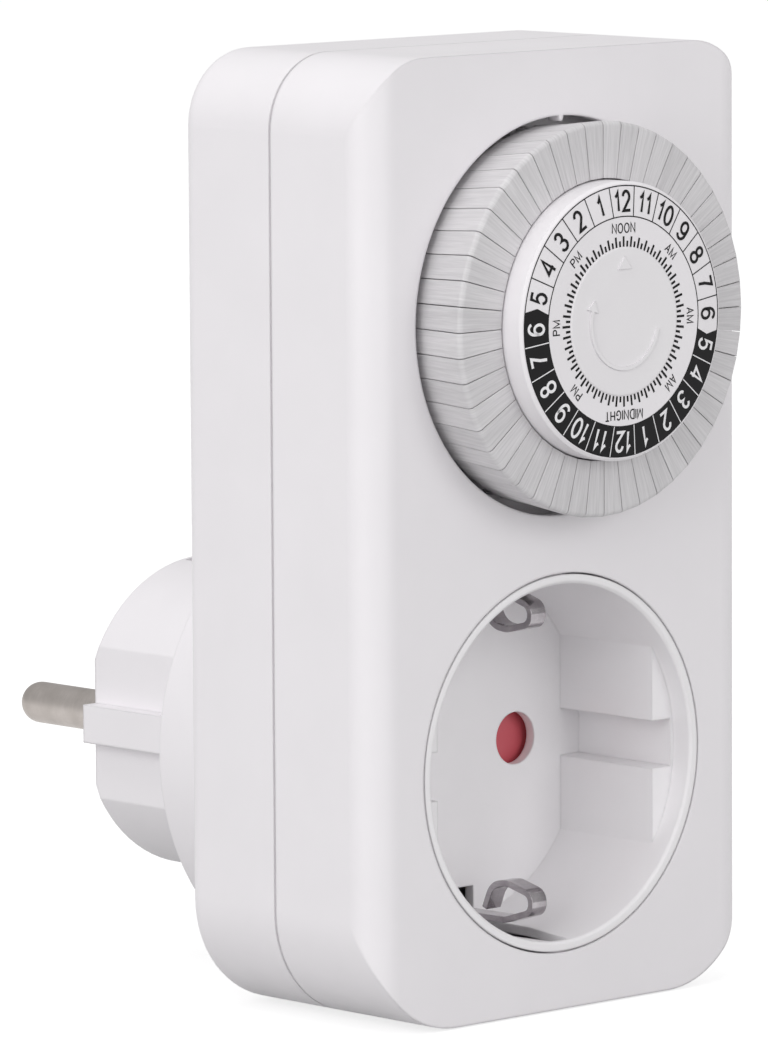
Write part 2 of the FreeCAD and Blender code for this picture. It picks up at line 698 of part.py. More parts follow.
def smooth_path(corners, radii):
    """Straight runs joined by tangent arcs, with one radius for each inner corner."""
    edges = []
    start = corners[0]
    for before, corner, after, radius in zip(corners, corners[1:], corners[2:], radii):
        inward = (corner - before).normalize()
        outward = (after - corner).normalize()
        half_turn = inward.getAngle(outward) / 2
        reach = radius * math.tan(half_turn)
        arc_start = corner - inward * reach
        arc_end = corner + outward * reach
        bisector = (outward - inward).normalize()
        middle = corner + bisector * (radius / math.cos(half_turn) - radius)
        edges.append(Part.LineSegment(start, arc_start).toShape())
        edges.append(Part.Arc(arc_start, middle, arc_end).toShape())
        start = arc_end
    edges.append(Part.LineSegment(start, corners[-1]).toShape())
    return Part.Wire(edges)


def bent_strip(corners, radii, thickness, width, across):
    """A flat strip bent along a path that lies square to the direction across."""
    path = smooth_path(corners, radii)
    along = (corners[1] - corners[0]).normalize()
    normal = along.cross(across)
    ring = [corners[0] + across * (width / 2 * a) + normal * (thickness / 2 * b)
            for a, b in ((1, 1), (-1, 1), (-1, -1), (1, -1), (1, 1))]
    solid = path.makePipeShell([Part.makePolygon(ring)], True, False)
    area = thickness * width
    if abs(solid.Volume / (area * path.Length) - 1) > 0.02:
        raise ValueError("a bent strip has the wrong volume")
    return solid


ACROSS = Vector(1, 0, 0)


def side_view(side, pairs):
    """Points in an upright plane at one place across, from pairs of place along Y and height."""
    return [Vector(side, depth, height) for depth, height in pairs]


def feature(name, shape):
    solid = shape_of("Part::Feature", name + "_solid")
    solid.Shape = shape
    return keep(name, solid)


def make_earth():
    """Socket earth clips, the bar that joins them to the plug, and the plug's side strips."""
    front = value("front")
    crown = value("clip_crown")
    foot = value("clip_foot")
    nose = front + value("clip_nose")
    bend = front + value("clip_back")
    clip = value("earth_strip")
    bar = value("bar_strip")
    width = value("bar_width")
    bar_front = value("cage_back") + value("bar_reach")
    heel = bar_front - clip / 2
    pairs = [(heel, foot - value("clip_heel")), (heel, foot),
             (front + value("clip_bow"), foot - value("slip") * 2),
             (nose, foot - value("nose_out")), (nose, crown + value("nose_in")),
             ((nose + bend) / 2, crown - value("clip_crest")), (bend - value("crest_back"), crown),
             (bend, foot - value("clip_end"))]
    tight = value("bend_round")
    tip_round = value("clip_round")
    sweep = value("clip_sweep")
    bends = [tight, sweep, tip_round, tip_round, sweep, sweep]
    legs = value("leg_height")
    high = value("strip_height")
    ramp_low = value("strip_start") - value("strip_ramp") / 2
    ramp_high = value("strip_start") + value("strip_ramp") / 2
    path = [(ramp_low - value("strip_foot"), legs + bar), (ramp_low, legs + bar), (ramp_high, high),
            (-value("strip_end"), high)]
    for name, sign in (("upper", 1), ("lower", -1)):
        corners = side_view(0, [(depth, sign * height) for depth, height in pairs])
        feature("earth_clip_" + name, bent_strip(corners, bends, clip, value("earth_width"), ACROSS))
        corners = side_view(0, [(depth, sign * height) for depth, height in path])
        feature("plug_earth_strip_" + name, bent_strip(corners, [tight, tight], bar, width, ACROSS))
    post = Part.makeBox(width, bar, 2 * foot + clip, Vector(-width / 2, bar_front, -foot - clip / 2))
    leg_length = ramp_low - bar / 2 - bar_front
    arms = [Part.makeBox(width, leg_length, bar, Vector(-width / 2, bar_front, height - bar / 2))
            for height in (legs, -legs)]
    feature("earth_bar", post.multiFuse(arms).removeSplitter())


def make_contacts():
    """Spring contacts behind the pin holes and the bars of the live and neutral side."""
    side = value("pin_side")
    half = value("leaf_half")
    leaf = value("leaf_strip")
    bar = value("bar_strip")
    width = value("blade_width")
    start = value("cage_back") + value("leaf_gap")
    mouth = start + value("flare_length")
    end = start + value("leaf_length")
    open_half = half + value("leaf_flare")
    pairs = [(start, open_half), (mouth, half), (end, half), (end, -half), (mouth, -half),
             (start, -open_half)]
    for name, where in (("left", -side), ("right", side)):
        corners = side_view(where, pairs)
        bends = [value("leaf_round")] * 4
        feature("contact_clip_" + name, bent_strip(corners, bends, leaf, value("leaf_width"), ACROSS))
    tight = value("bend_round")
    tail = value("tail_end") - bar / 2
    edge = half - value("bar_edge")
    behind = end + leaf / 2 + bar / 2
    neutral = [(tail, -edge), (tail, edge), (behind, edge), (behind, -edge)]
    feature("neutral_bar", bent_strip(side_view(side, neutral), [tight] * 2, bar, width, ACROSS))
    ledge = value("bar_ledge")
    top = value("switch_height") - width / 2 - value("riser_gap")
    fixed = value("plate_back") + value("slip") + bar + bar / 2
    live = [(tail, -edge), (tail, ledge), (start, ledge), (start, top), (fixed, top), (fixed, top + width)]
    feature("live_bar", bent_strip(side_view(-side, live), [tight] * 4, bar, width, ACROSS))
    outer = "-(pin_side + leaf_width / 2)"
    span = (outer + " - bar_strip", outer)
    blade_span = ("switch_height - blade_width / 2", "switch_height + blade_width / 2")
    rail = box("load_rail", span, ("cage_back + leaf_gap + gap", "cavity_back - gap"),
               ("-leaf_half", blade_span[1]))
    arm = box("load_arm", span, ("blade_front", "cavity_back - gap"), blade_span)
    keep("load_bar", fuse("load_bar_solid", [rail, arm]))


def make_pins():
    """Two plug pins with a round tip and a shoulder, and the plate that clamps them."""
    shoulder_back = "-(insert_wall + slip)"
    shoulder_front = "-(insert_wall + slip + collar_width)"
    plate_back = "-(insert_wall + 2 * slip + collar_width)"
    plate_front = plate_back + " - carrier_width"
    holes = []
    for name, where in (("left", "-pin_side"), ("right", "pin_side")):
        centre = (where, "0")
        straight = "pin_length - pin_radius"
        shank = rod("pin_shank_" + name, "y", centre, "pin_radius", "0", straight)
        neck = rod("pin_neck_" + name, "y", centre, "pin_radius - slip * 2", shoulder_back, "bite")
        tip = shape_of("Part::Sphere", "pin_tip_" + name)
        tip.setExpression("Radius", bound("pin_radius"))
        tip.setExpression("Placement.Base.x", bound(where))
        tip.setExpression("Placement.Base.y", bound(straight))
        tip.Placement.Rotation = AXIS_TURNS["y"]
        shoulder = rod("pin_shoulder_" + name, "y", centre, "collar_radius", shoulder_front, shoulder_back)
        tail_rod = rod("pin_tail_" + name, "y", centre, "tail_radius", "tail_end", "-insert_wall")
        keep("plug_pin_" + name, fuse("plug_pin_%s_solid" % name, [shank, neck, tip, shoulder, tail_rod]))
        holes.append(rod("carrier_hole_" + name, "y", centre, "tail_radius + slip / 2",
                         plate_front + " - over", plate_back + " + over"))
    wide = "insert_flat - insert_wall - slip * 2"
    tall = "collar_radius * 2"
    plate = box("carrier_plate", ("-(%s)" % wide, wide), (plate_front, plate_back), ("-(%s)" % tall, tall))
    keep("pin_carrier", cut("pin_carrier_solid", plate, holes))


def make_switch():
    """Lever and contacts that the pushed-in tabs work."""
    low = "switch_height - blade_width / 2"
    high = "switch_height + blade_width / 2"
    root = "-(pin_side + leaf_width / 2 - blade_gap)"
    blade = box("blade", (root, "blade_tip"), ("blade_front", "blade_back"), (low, high))
    rivet = rod("blade_rivet", "y", ("rivet_side", "switch_height"), "rivet_radius",
                "blade_back", "rivet_face")
    keep("moving_contact", fuse("moving_contact_solid", [blade, rivet]))
    strip = box("fixed_strip", ("-(pin_side + blade_width / 2)", "rivet_side + rivet_radius + bar_strip"),
                ("plate_back + slip", "plate_back + slip + bar_strip"), (low, high))
    stem = rod("fixed_rivet", "y", ("rivet_side", "switch_height"), "rivet_radius", "fixed_face",
               "plate_back + slip * 2")
    keep("fixed_contact", fuse("fixed_contact_solid", [strip, stem]))

    centre = ("pivot_depth", "pivot_height")
    hub = rod("lever_hub_rod", "x", centre, "lever_hub", "-(lever_half + lever_side)",
              "lever_half + lever_side")
    tip_y = "pivot_depth - nose_rise"
    tip_z = "pivot_height + nose_reach"
    shoulder = "switch_height + shoulder_rise"
    lean = "pivot_depth - nose_rise * (%s - pivot_height) / nose_reach" % shoulder
    arm_points = [("pivot_depth - arm_half", "pivot_height"), ("pivot_depth + arm_half", "pivot_height"),
                  ("blade_front - slip", "switch_height - bump_low"),
                  ("blade_front - slip", "switch_height - bump_high"),
                  (lean + " + nose_round", shoulder), (lean + " - nose_round", shoulder)]
    nose_points = [(lean + " - nose_round", "switch_height"), (lean + " + nose_round", "switch_height"),
                   (tip_y + " + nose_round", tip_z), (tip_y + " + nose_round / 2", tip_z + " + nose_round"),
                   (tip_y + " - nose_round / 2", tip_z + " + nose_round"), (tip_y + " - nose_round", tip_z)]
    arm = middle_pad("lever_arm", arm_points, "lever_half * 2")
    nose = middle_pad("lever_nose", nose_points, "nose_half * 2")
    past = "lever_half + lever_side + over"
    bore = rod("lever_bore", "x", centre, "pivot_radius + play", "-(%s)" % past, past)
    keep("switch_lever", cut("switch_lever_solid", fuse("lever_blank", [hub, arm, nose]), [bore]))
    reach = "lever_half + lever_side + slip * 2 + lug_width"
    keep("lever_pin", rod("lever_pin_rod", "x", centre, "pivot_radius", "-(%s)" % reach, reach))


def middle_pad(name, points, width):
    """A side-view outline padded equally to both sides of the middle plane."""
    body = new_body(name)
    sketch = outline(body, "YZ_Plane", points, name + "_outline")
    pad = body.newObject("PartDesign::Pad", name + "_pad")
    pad.Profile = sketch
    pad.setExpression("Length", bound(width))
    pad.Midplane = True
    body.Tip = pad
    doc.recompute()
    return body


def tooth_outline(teeth, module, gap_angle):
    """Involute teeth with a gap centred on one angle, as points in the front view."""
    pitch = teeth * module / 2
    head = pitch + module * value("tooth_head")
    foot = pitch - module * value("tooth_foot")
    pressure = math.radians(value("pressure_angle"))
    base = pitch * math.cos(pressure)
    half_pitch = (math.pi / 2 - value("backlash")) / teeth
    involute = math.tan(pressure) - pressure

    def half_angle(radius):
        lean = math.acos(min(1.0, base / radius))
        return half_pitch + involute - (math.tan(lean) - lean)

    radii = [foot, max(base, foot), pitch, head]
    points = []
    step = 2 * math.pi / teeth
    for index in range(teeth):
        middle = math.radians(gap_angle) + (index + 0.5) * step
        flank = [(radius, half_angle(radius)) for radius in radii]
        points += [polar(radius, middle - angle) for radius, angle in flank]
        points += [polar(radius, middle + angle) for radius, angle in reversed(flank)]
    return points


def polar(radius, angle):
    return Vector(radius * math.cos(angle), 0, radius * math.sin(angle))


def gear_ring(teeth, module, gap_angle, hole, low, high):
    """A toothed ring between two places along Y, about its own axis."""
    points = tooth_outline(teeth, module, gap_angle)
    outer = Part.Face(Part.makePolygon(points + points[:1]))
    ring = outer.extrude(Vector(0, high - low, 0))
    ring.translate(Vector(0, low, 0))
    over = value("over")
    bore = Part.makeCylinder(hole, high - low + 2 * over, Vector(0, low - over, 0), Vector(0, 1, 0))
    return ring.cut(bore)


def make_gears():
    """Transfer gear with two tooth sizes, its pin, and the motor pinion on its shaft."""
    angle = value("train_angle")
    pinion = int(value("pinion_teeth"))
    small = value("dial_module")
    fine = value("motor_module")
    bore = value("pinion_bore") + value("play")
    low = value("gear_front") - value("slip")
    wheel_low = value("wheel_front")
    wheel_high = value("wheel_back")
    half_step = 180.0 / pinion
    small_ring = gear_ring(pinion, small, angle + 180 + half_step, bore, low, wheel_low)
    wheel = gear_ring(int(value("wheel_teeth")), fine, angle + 180, bore, wheel_low, wheel_high)
    gear = small_ring.fuse(wheel).removeSplitter()
    gear.translate(Vector(value("train_side"), 0, value("train_height")))
    feature("transfer_gear", gear)
    keep("transfer_pin", rod("transfer_pin_rod", "y", ("train_side", "train_height"), "pinion_bore",
                             "gear_front - gap * 2", "plate_back"))
    shaft = value("shaft_radius")
    drive = gear_ring(pinion, fine, angle + half_step, shaft / 2, wheel_low, wheel_high)
    reach = value("plate_back") + value("shaft_seat") - wheel_low
    stem = Part.makeCylinder(shaft, reach, Vector(0, wheel_low, 0), Vector(0, 1, 0))
    drive = drive.fuse(stem).removeSplitter()
    drive.translate(Vector(value("shaft_side"), 0, value("shaft_height")))
    feature("motor_pinion", drive)


def make_dial():
    """Carrier with web and gear, raised face, centre cap, axle and the push-in tabs."""
    wall = "face_radius - face_wall - slip / 2"
    points = [("boss_front", "axle_head + slip * 2"), ("boss_front", "hub_radius"),
              ("web_front - boss_wall", "hub_radius"),
              ("web_front - boss_wall", wall + " - boss_wall"), ("boss_front", wall + " - boss_wall"),
              ("boss_front", wall), ("web_front", wall), ("web_front", "web_radius"),
              ("web_back", "web_radius"), ("web_back", "neck_radius"),
              ("gear_back", "neck_radius"), ("gear_back", "hub_radius - hub_step"),
              ("plate_front - slip * 2", "hub_radius - hub_step"),
              ("plate_front - slip * 2", "axle_radius + play"),
              ("boss_front + head_width + slip * 2", "axle_radius + play"),
              ("boss_front + head_width + slip * 2", "axle_head + slip * 2")]
    body = turned("dial_carrier", points, "dial_height")
    slot = outline(body, "YZ_Plane", [("web_front - bite", "stem_low - slip"),
                                      ("web_back + bite", "stem_low - slip"),
                                      ("web_back + bite", "stem_high + slip"),
                                      ("web_front - bite", "stem_high + slip")], "stem_slot")
    pocket = body.newObject("PartDesign::Pocket", "stem_pocket")
    pocket.Profile = slot
    pocket.setExpression("Length", bound("(stem_half + slip) * 2"))
    pocket.Midplane = True
    body.Tip = pocket
    doc.recompute()
    before = body.Shape.Volume
    pattern = body.newObject("PartDesign::PolarPattern", "stem_pockets")
    pattern.Originals = [pocket]
    pattern.Axis = (slot, ["H_Axis"])
    pattern.Angle = 360.0
    pattern.setExpression("Occurrences", bound("tab_count"))
    body.Tip = pattern
    doc.recompute()
    if body.Shape.Volume >= before:
        raise ValueError("the stem slots are missing")
    teeth = int(value("dial_teeth"))
    ring = gear_ring(teeth, value("dial_module"), value("train_angle"), value("neck_radius") - value("bite"),
                     value("gear_front"), value("gear_back"))
    ring.translate(Vector(0, 0, value("dial_height")))
    gear = shape_of("Part::Feature", "dial_gear_ring")
    gear.Shape = ring
    half_step = 180.0 / value("tab_count")
    turned_body = turned_copy("dial_carrier_turned", body, half_step)
    keep("dial_base", fuse("dial_base_solid", [turned_body, gear]))

    skirt = "web_front - slip"
    rim = "face_front + face_slope"
    points = [("face_front", "0"), ("face_front", "face_flat"), (rim, "face_radius - slip * 3"),
              (rim + " + slip * 3", "face_radius"),
              (skirt, "face_radius"), (skirt, "face_radius - face_wall"),
              ("face_front + face_wall", "face_radius - face_wall"), ("face_front + face_wall", "0")]
    keep("dial_face", turned("dial_face_body", points, "dial_height"))
    points = [("face_front - cap_proud", "0"), ("face_front - cap_proud", "cap_radius - slip * 3"),
              ("face_front - cap_proud + slip * 2", "cap_radius"), ("face_front", "cap_radius"),
              ("face_front", "0")]
    keep("dial_cap", turned("dial_cap_body", points, "dial_height"))
    head_low = "boss_front + slip"
    points = [(head_low, "0"), (head_low, "axle_head"), (head_low + " + head_width", "axle_head"),
              (head_low + " + head_width", "axle_radius"), ("plate_back", "axle_radius"),
              ("plate_back", "0")]
    keep("dial_axle", turned("dial_axle_body", points, "dial_height"))
    make_tabs()


def turned_copy(name, body, angle):
    """A link to a body, turned about the dial axis."""
    link = doc.addObject("App::Link", name)
    link.LinkedObject = body
    link.Placement = FreeCAD.Placement(Vector(), FreeCAD.Rotation(Vector(0, 1, 0), angle))
    link.setExpression("Placement.Base.z", bound("dial_height"))
    return link


def make_tabs():
    """48 tabs; the two tabs of one hour cell share a node."""
    master = new_body("tab")
    points = [("tab_face", "tab_inner"), ("tab_face", "tab_radius - tab_bevel"),
              ("tab_face + tab_bevel", "tab_radius"), ("front", "tab_waist"),
              ("front + tab_back", "tab_waist"), ("front + tab_back", "tab_inner")]
    head = outline(master, "YZ_Plane", points, "tab_profile")
    turn = master.newObject("PartDesign::Revolution", "tab_head")
    turn.Profile = head
    turn.ReferenceAxis = (head, ["H_Axis"])
    turn.Midplane = True
    turn.setExpression("Angle", bound("360 / tab_count - tab_gap"))
    doc.recompute()
    low = "front + tab_back - bite"
    points = [(low, "stem_low"), ("stem_end", "stem_low"), ("stem_end", "stem_high"), (low, "stem_high")]
    stem = outline(master, "YZ_Plane", points, "stem_profile")
    pad = master.newObject("PartDesign::Pad", "tab_stem")
    pad.Profile = stem
    pad.setExpression("Length", bound("stem_half * 2"))
    pad.Midplane = True
    master.Tip = pad
    doc.recompute()
    count = int(value("tab_count"))
    step = 360.0 / count
    for hour in range(1, count // 2 + 1):
        pair = [turned_copy("tab_%d_%s" % (hour, side), master, (2 * hour + shift) * step)
                for side, shift in (("early", -0.5), ("late", 0.5))]
        hour_pair = shape_of("Part::Compound", "hour_pair_%d" % hour)
        hour_pair.Links = pair
        keep("hour_tabs_%02d" % hour, hour_pair)


def make_mechanism():
    """Plate that carries the axle, the gears, the motor and the lever; the motor; the screws."""
    side = "half_width - housing_wall - slip - lip_wall - slip * 2"
    high = "housing_top - housing_wall - slip - lip_wall - slip * 2"
    span = ("plate_front", "plate_back")
    blank = box("plate_blank", ("-(%s)" % side, side), span, ("plate_low", high))
    inner = front_block("plate_limit", "housing_wall + slip + lip_wall + slip * 2", "front", "back")[0]
    plate = common("plate_rounded", [blank, inner])
    lugs = []
    lug_low = "lever_half + lever_side + slip * 2"
    for name, low, far in (("right", lug_low, lug_low + " + lug_width"),
                           ("left", "-(%s + lug_width)" % lug_low, "-(%s)" % lug_low)):
        reach = ("pivot_depth - pivot_radius - over", "plate_front + bite")
        tall = ("plate_low", "switch_height - blade_width / 2 - gap")
        lugs.append(box("lug_" + name, (low, far), reach, tall))
    tools = [rod("lug_bore", "x", ("pivot_depth", "pivot_height"), "pivot_radius",
                 "-(%s + lug_width + over)" % lug_low, "%s + lug_width + over" % lug_low)]
    tools.append(rod("axle_seat", "y", ("0", "dial_height"), "axle_radius",
                     "plate_front - over", "plate_back + over"))
    tools.append(rod("pin_seat", "y", ("train_side", "train_height"), "pinion_bore",
                     "plate_front - over", "plate_back + over"))
    tools.append(rod("shaft_room", "y", ("shaft_side", "shaft_height"), "shaft_radius + gap",
                     "plate_front - over", "plate_back + over"))
    window = ("switch_height - blade_width / 2 - gap * 2", "switch_height + blade_width / 2 + gap * 2")
    tools.append(box("contact_window", ("rivet_side - rivet_radius - gap * 4", "blade_tip + over"),
                     ("plate_front - over", "plate_back + over"), window))
    outer = "pin_side + leaf_width / 2"
    tools.append(box("bar_notch", ("-(%s + bar_strip + gap)" % outer, "-(%s - gap)" % outer),
                     ("plate_front - over", "plate_back + over"),
                     ("switch_height - blade_width / 2 - gap", "switch_height + blade_width / 2 + gap")))
    for index, (where, height) in enumerate(SCREWS[:2]):
        tools.append(rod("plate_corner_%d" % index, "y", (where, height), "boss_radius + slip * 3",
                         "plate_front - over", "plate_back + over"))
    keep("mechanism_plate", cut("plate_solid", fuse("plate_with_lugs", [plate] + lugs), tools))

    can = rod("motor_can", "y", ("0", "motor_height"), "motor_radius", "plate_back", "motor_back")
    bore = rod("motor_bore", "y", ("shaft_side", "shaft_height"), "shaft_radius + play", "plate_back - over",
               "plate_back + shaft_seat + bite")
    keep("motor", cut("motor_solid", can, [bore]))

    screws = []
    for index, (where, height) in enumerate(SCREWS):
        shank = rod("screw_%d" % index, "y", (where, height), "screw_radius", "parting - screw_reach",
                    "back - head_depth")
        head = rod("screw_top_%d" % index, "y", (where, height), "screw_head", "back - head_depth",
                   "back - head_depth + head_height")
        screws.append(fuse("screw_whole_%d" % index, [shank, head]))
    group = shape_of("Part::Compound", "screw_group")
    group.Links = screws
    keep("housing_screws", group)


make_covers()
make_socket()
make_shutter()
make_earth()
make_contacts()
make_pins()
make_switch()
make_dial()
make_gears()
make_mechanism()
doc.recompute()

# Every object is checked before anything is written
for thing in doc.Objects:
    if "Invalid" in thing.State or "Error" in thing.State:
        raise ValueError("%s failed: %s" % (thing.Name, thing.State))
for thing in pieces:
    if thing.Shape.isNull() or not thing.Shape.isValid() or not thing.Shape.Solids:
        raise ValueError("%s has no sound solid" % thing.Label)

os.makedirs("parts", exist_ok=True)
for thing in pieces:
    thing.Shape.exportStep("parts/%s.step" % thing.Label)
print(len(pieces), "pieces written")
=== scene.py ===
# %% [markdown]
# # A plug-in timer switch
# The real object is a white moulded housing with a push-in tab dial above an earthed socket,
# and a round plug on its back. Its shape was made in CAD and arrives here as a fixed frame,
# in metres, with +Y towards the wall and +Z up. Blender's share is what the eye sees: the
# print on the dial, the edges of the tabs, and the surface of each plastic and metal.

# %% Load the frame and keep the CAD box
import json
import math
import bpy
import bmesh
from mathutils import Matrix, Vector


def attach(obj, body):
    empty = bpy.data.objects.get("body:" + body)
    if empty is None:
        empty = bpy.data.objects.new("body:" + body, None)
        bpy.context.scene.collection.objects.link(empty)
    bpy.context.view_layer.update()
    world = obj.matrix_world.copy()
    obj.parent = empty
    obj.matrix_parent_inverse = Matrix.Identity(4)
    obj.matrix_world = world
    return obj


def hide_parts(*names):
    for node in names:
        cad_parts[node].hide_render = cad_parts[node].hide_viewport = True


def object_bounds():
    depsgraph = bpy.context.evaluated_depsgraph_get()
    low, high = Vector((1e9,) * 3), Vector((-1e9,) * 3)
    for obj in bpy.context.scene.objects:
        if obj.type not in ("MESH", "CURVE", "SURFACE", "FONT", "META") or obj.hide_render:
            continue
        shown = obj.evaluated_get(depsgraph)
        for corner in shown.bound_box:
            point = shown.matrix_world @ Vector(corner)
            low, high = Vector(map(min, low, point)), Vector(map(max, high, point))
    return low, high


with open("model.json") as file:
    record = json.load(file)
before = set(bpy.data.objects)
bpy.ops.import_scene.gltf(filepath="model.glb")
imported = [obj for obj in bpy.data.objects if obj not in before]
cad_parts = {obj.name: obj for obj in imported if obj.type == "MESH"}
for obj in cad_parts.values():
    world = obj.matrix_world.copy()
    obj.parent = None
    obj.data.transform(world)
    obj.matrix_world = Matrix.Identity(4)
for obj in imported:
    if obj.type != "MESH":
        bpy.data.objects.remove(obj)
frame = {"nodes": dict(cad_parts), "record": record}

cad_low, cad_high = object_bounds()
nodes = frame["nodes"]
scene = bpy.context.scene
MM = 0.001
print("CAD box in mm", [round(v / MM, 1) for v in (*cad_low, *cad_high)])

# %% [markdown]
# ## Camera
# A product photo of a small object is taken from about a metre with a long lens, so upright
# edges stay nearly parallel. The camera looks from the left front and slightly from above.
# It is placed by an aim point, two angles and a distance, which are easier to read than a
# matrix, and a small roll turns it about its own axis.

# %% Camera at the photograph's angle
FRONT = -60.9 * MM
AIM = Vector((-26.95 * MM, FRONT, 28.51 * MM))
AZIMUTH, ELEVATION, ROLL = math.radians(43.01), math.radians(6.946), math.radians(-0.345)
DISTANCE = 874.0 * MM
LENS_MM, SENSOR_MM = 274.95, 36
NEAREST, FARTHEST = 0.05, 20
ahead = Vector((math.sin(AZIMUTH) * math.cos(ELEVATION),
                math.cos(AZIMUTH) * math.cos(ELEVATION), -math.sin(ELEVATION)))
right = Vector((math.cos(AZIMUTH), -math.sin(AZIMUTH), 0))
up = right.cross(ahead)
rolled_right = right * math.cos(ROLL) + up * math.sin(ROLL)
rolled_up = up * math.cos(ROLL) - right * math.sin(ROLL)
turn = Matrix((rolled_right, rolled_up, -ahead)).transposed()
camera = bpy.data.objects.new("camera", bpy.data.cameras.new("camera"))
scene.collection.objects.link(camera)
camera.matrix_world = Matrix.Translation(AIM - ahead * DISTANCE) @ turn.to_4x4()
camera.data.lens = LENS_MM
camera.data.sensor_width = SENSOR_MM
camera.data.clip_start, camera.data.clip_end = NEAREST, FARTHEST
scene.camera = camera
print("camera", [round(v, 3) for v in camera.location])

# %% [markdown]
# ## Helpers for colour and nodes
# Colours are written the way paint charts and screens give them, as sRGB hex. Shaders work
# in linear light, so one function converts. A second function adds any node: settings are
# the node's own properties, and inputs are numbers, colours or another node's output.

# %% Colour and node helpers
def linear(code):
    """An sRGB hex colour as linear RGBA."""
    parts = [int(code[i:i + 2], 16) / 255 for i in (1, 3, 5)]
    return [c / 12.92 if c <= 0.04045 else ((c + 0.055) / 1.055) ** 2.4 for c in parts] + [1.0]


def add(tree, kind, inputs=None, **settings):
    """Add a node of any kind; an input may be a value or another node's output socket."""
    made = tree.nodes.new(kind)
    for name, setting in settings.items():
        setattr(made, name, setting)
    for name, given in (inputs or {}).items():
        if isinstance(given, bpy.types.NodeSocket):
            tree.links.new(given, made.inputs[name])
        else:
            made.inputs[name].default_value = given
    return made


print("white is", [round(c, 3) for c in linear("#ffffff")])

# %% [markdown]
# ## Floor and light
# The photograph shows the object against pure white. A pale floor catches the shadow, and it
# is lifted to white only for the rays that come from the camera, from glossy surfaces and
# through clear ones, so it adds no extra light to the object. The light is that of a white
# studio tent, even from everywhere, with three square soft lamps. One in front lights the
# front face, one at the left the side that the camera sees, and one above the top.

# %% Floor, world and lamps
FLOOR_REACH = 6.0
FLOOR_GAP = 0.2 * MM
FLOOR_GLOW = 0.74
SKY_LIGHT, SKY_SEEN = 0.58, 1.0
LAMP_AIM = Vector((0, -0.04, 0.03))


def white_where_seen(tree, colour, glow):
    """Diffuse paper that also glows for camera, glossy and transmission rays."""
    path = add(tree, "ShaderNodeLightPath")
    seen = add(tree, "ShaderNodeMath", {0: path.outputs["Is Camera Ray"],
                                        1: path.outputs["Is Glossy Ray"]}, operation="MAXIMUM")
    seen = add(tree, "ShaderNodeMath", {0: seen.outputs[0],
                                        1: path.outputs["Is Transmission Ray"]},
               operation="MAXIMUM")
    strength = add(tree, "ShaderNodeMath", {0: seen.outputs[0], 1: glow}, operation="MULTIPLY")
    paper = add(tree, "ShaderNodeBsdfDiffuse", {"Color": colour})
    glowing = add(tree, "ShaderNodeEmission", {"Color": linear("#ffffff"),
                                               "Strength": strength.outputs[0]})
    return add(tree, "ShaderNodeAddShader", {0: paper.outputs[0], 1: glowing.outputs[0]})


def new_material(name):
    """A material with an empty node tree, and that tree."""
    made = bpy.data.materials.new(name)
    made.use_nodes = True
    made.node_tree.nodes.clear()
    return made, made.node_tree


# Matt grey paper: it darkens softly under the object and reads as white everywhere else.
floor_paper, tree = new_material("studio paper")
paper = white_where_seen(tree, linear("#b4b4b4"), FLOOR_GLOW)
add(tree, "ShaderNodeOutputMaterial", {"Surface": paper.outputs[0]})
floor_mesh = bpy.data.meshes.new("floor")
foot = cad_low.z - FLOOR_GAP
floor_mesh.from_pydata([(-FLOOR_REACH, -FLOOR_REACH, foot), (FLOOR_REACH, -FLOOR_REACH, foot),
                        (FLOOR_REACH, FLOOR_REACH, foot), (-FLOOR_REACH, FLOOR_REACH, foot)],
                       [], [(0, 1, 2, 3)])
floor_mesh.materials.append(floor_paper)
floor = bpy.data.objects.new("floor", floor_mesh)
scene.collection.objects.link(floor)

world = bpy.data.worlds.new("studio")
scene.world = world
world.use_nodes = True
tree = world.node_tree
tree.nodes.clear()
path = add(tree, "ShaderNodeLightPath")
sky = add(tree, "ShaderNodeMix", {0: path.outputs["Is Camera Ray"], 2: SKY_LIGHT, 3: SKY_SEEN})
glow = add(tree, "ShaderNodeBackground", {"Color": linear("#ffffff"),
                                          "Strength": sky.outputs[0]})
add(tree, "ShaderNodeOutputWorld", {"Surface": glow.outputs[0]})


def softbox(name, place, size, watts):
    """A square soft lamp that faces the object; place and size are in metres."""
    lamp = bpy.data.lights.new(name, "AREA")
    lamp.size = size
    lamp.energy = watts
    made = bpy.data.objects.new(name, lamp)
    scene.collection.objects.link(made)
    made.location = place
    made.rotation_euler = (LAMP_AIM - Vector(place)).to_track_quat("-Z", "Y").to_euler()


softbox("front softbox", place=(0.10, -0.90, 0.28), size=0.5, watts=1.75)
softbox("left softbox", place=(-0.95, -0.27, 0.31), size=0.8, watts=4.5)
softbox("top softbox", place=(-0.25, 0.05, 1.05), size=0.7, watts=2.1)
scene.view_settings.view_transform = "Standard"
print("floor at", round(foot / MM, 2), "mm")

# %% [markdown]
# ## White moulded ABS
# The covers are white ABS from a spark-eroded steel mould, which leaves a fine satin grain.
# The grain on the real part is about a tenth of a millimetre; it is drawn at 0.25 mm, because
# a finer one would not show. The socket well comes from a polished mould, so it is glossier
# than the front round it, and its colour is painted a little lighter, as painted light that
# lifts the shade inside the recess. Moulded edges are never sharp: the shader's bevel rounds
# the light over each edge by a few tenths of a millimetre. Roughness varies a little in broad
# patches, as handling and the mould's polish leave it.

# %% Moulded plastic
GRAIN_MM, GRAIN_DEPTH_MM = 0.25, 0.012
SHADE_PATCH_MM, GLOSS_PATCH_MM = 14, 5
PLASTIC_IOR = 1.53


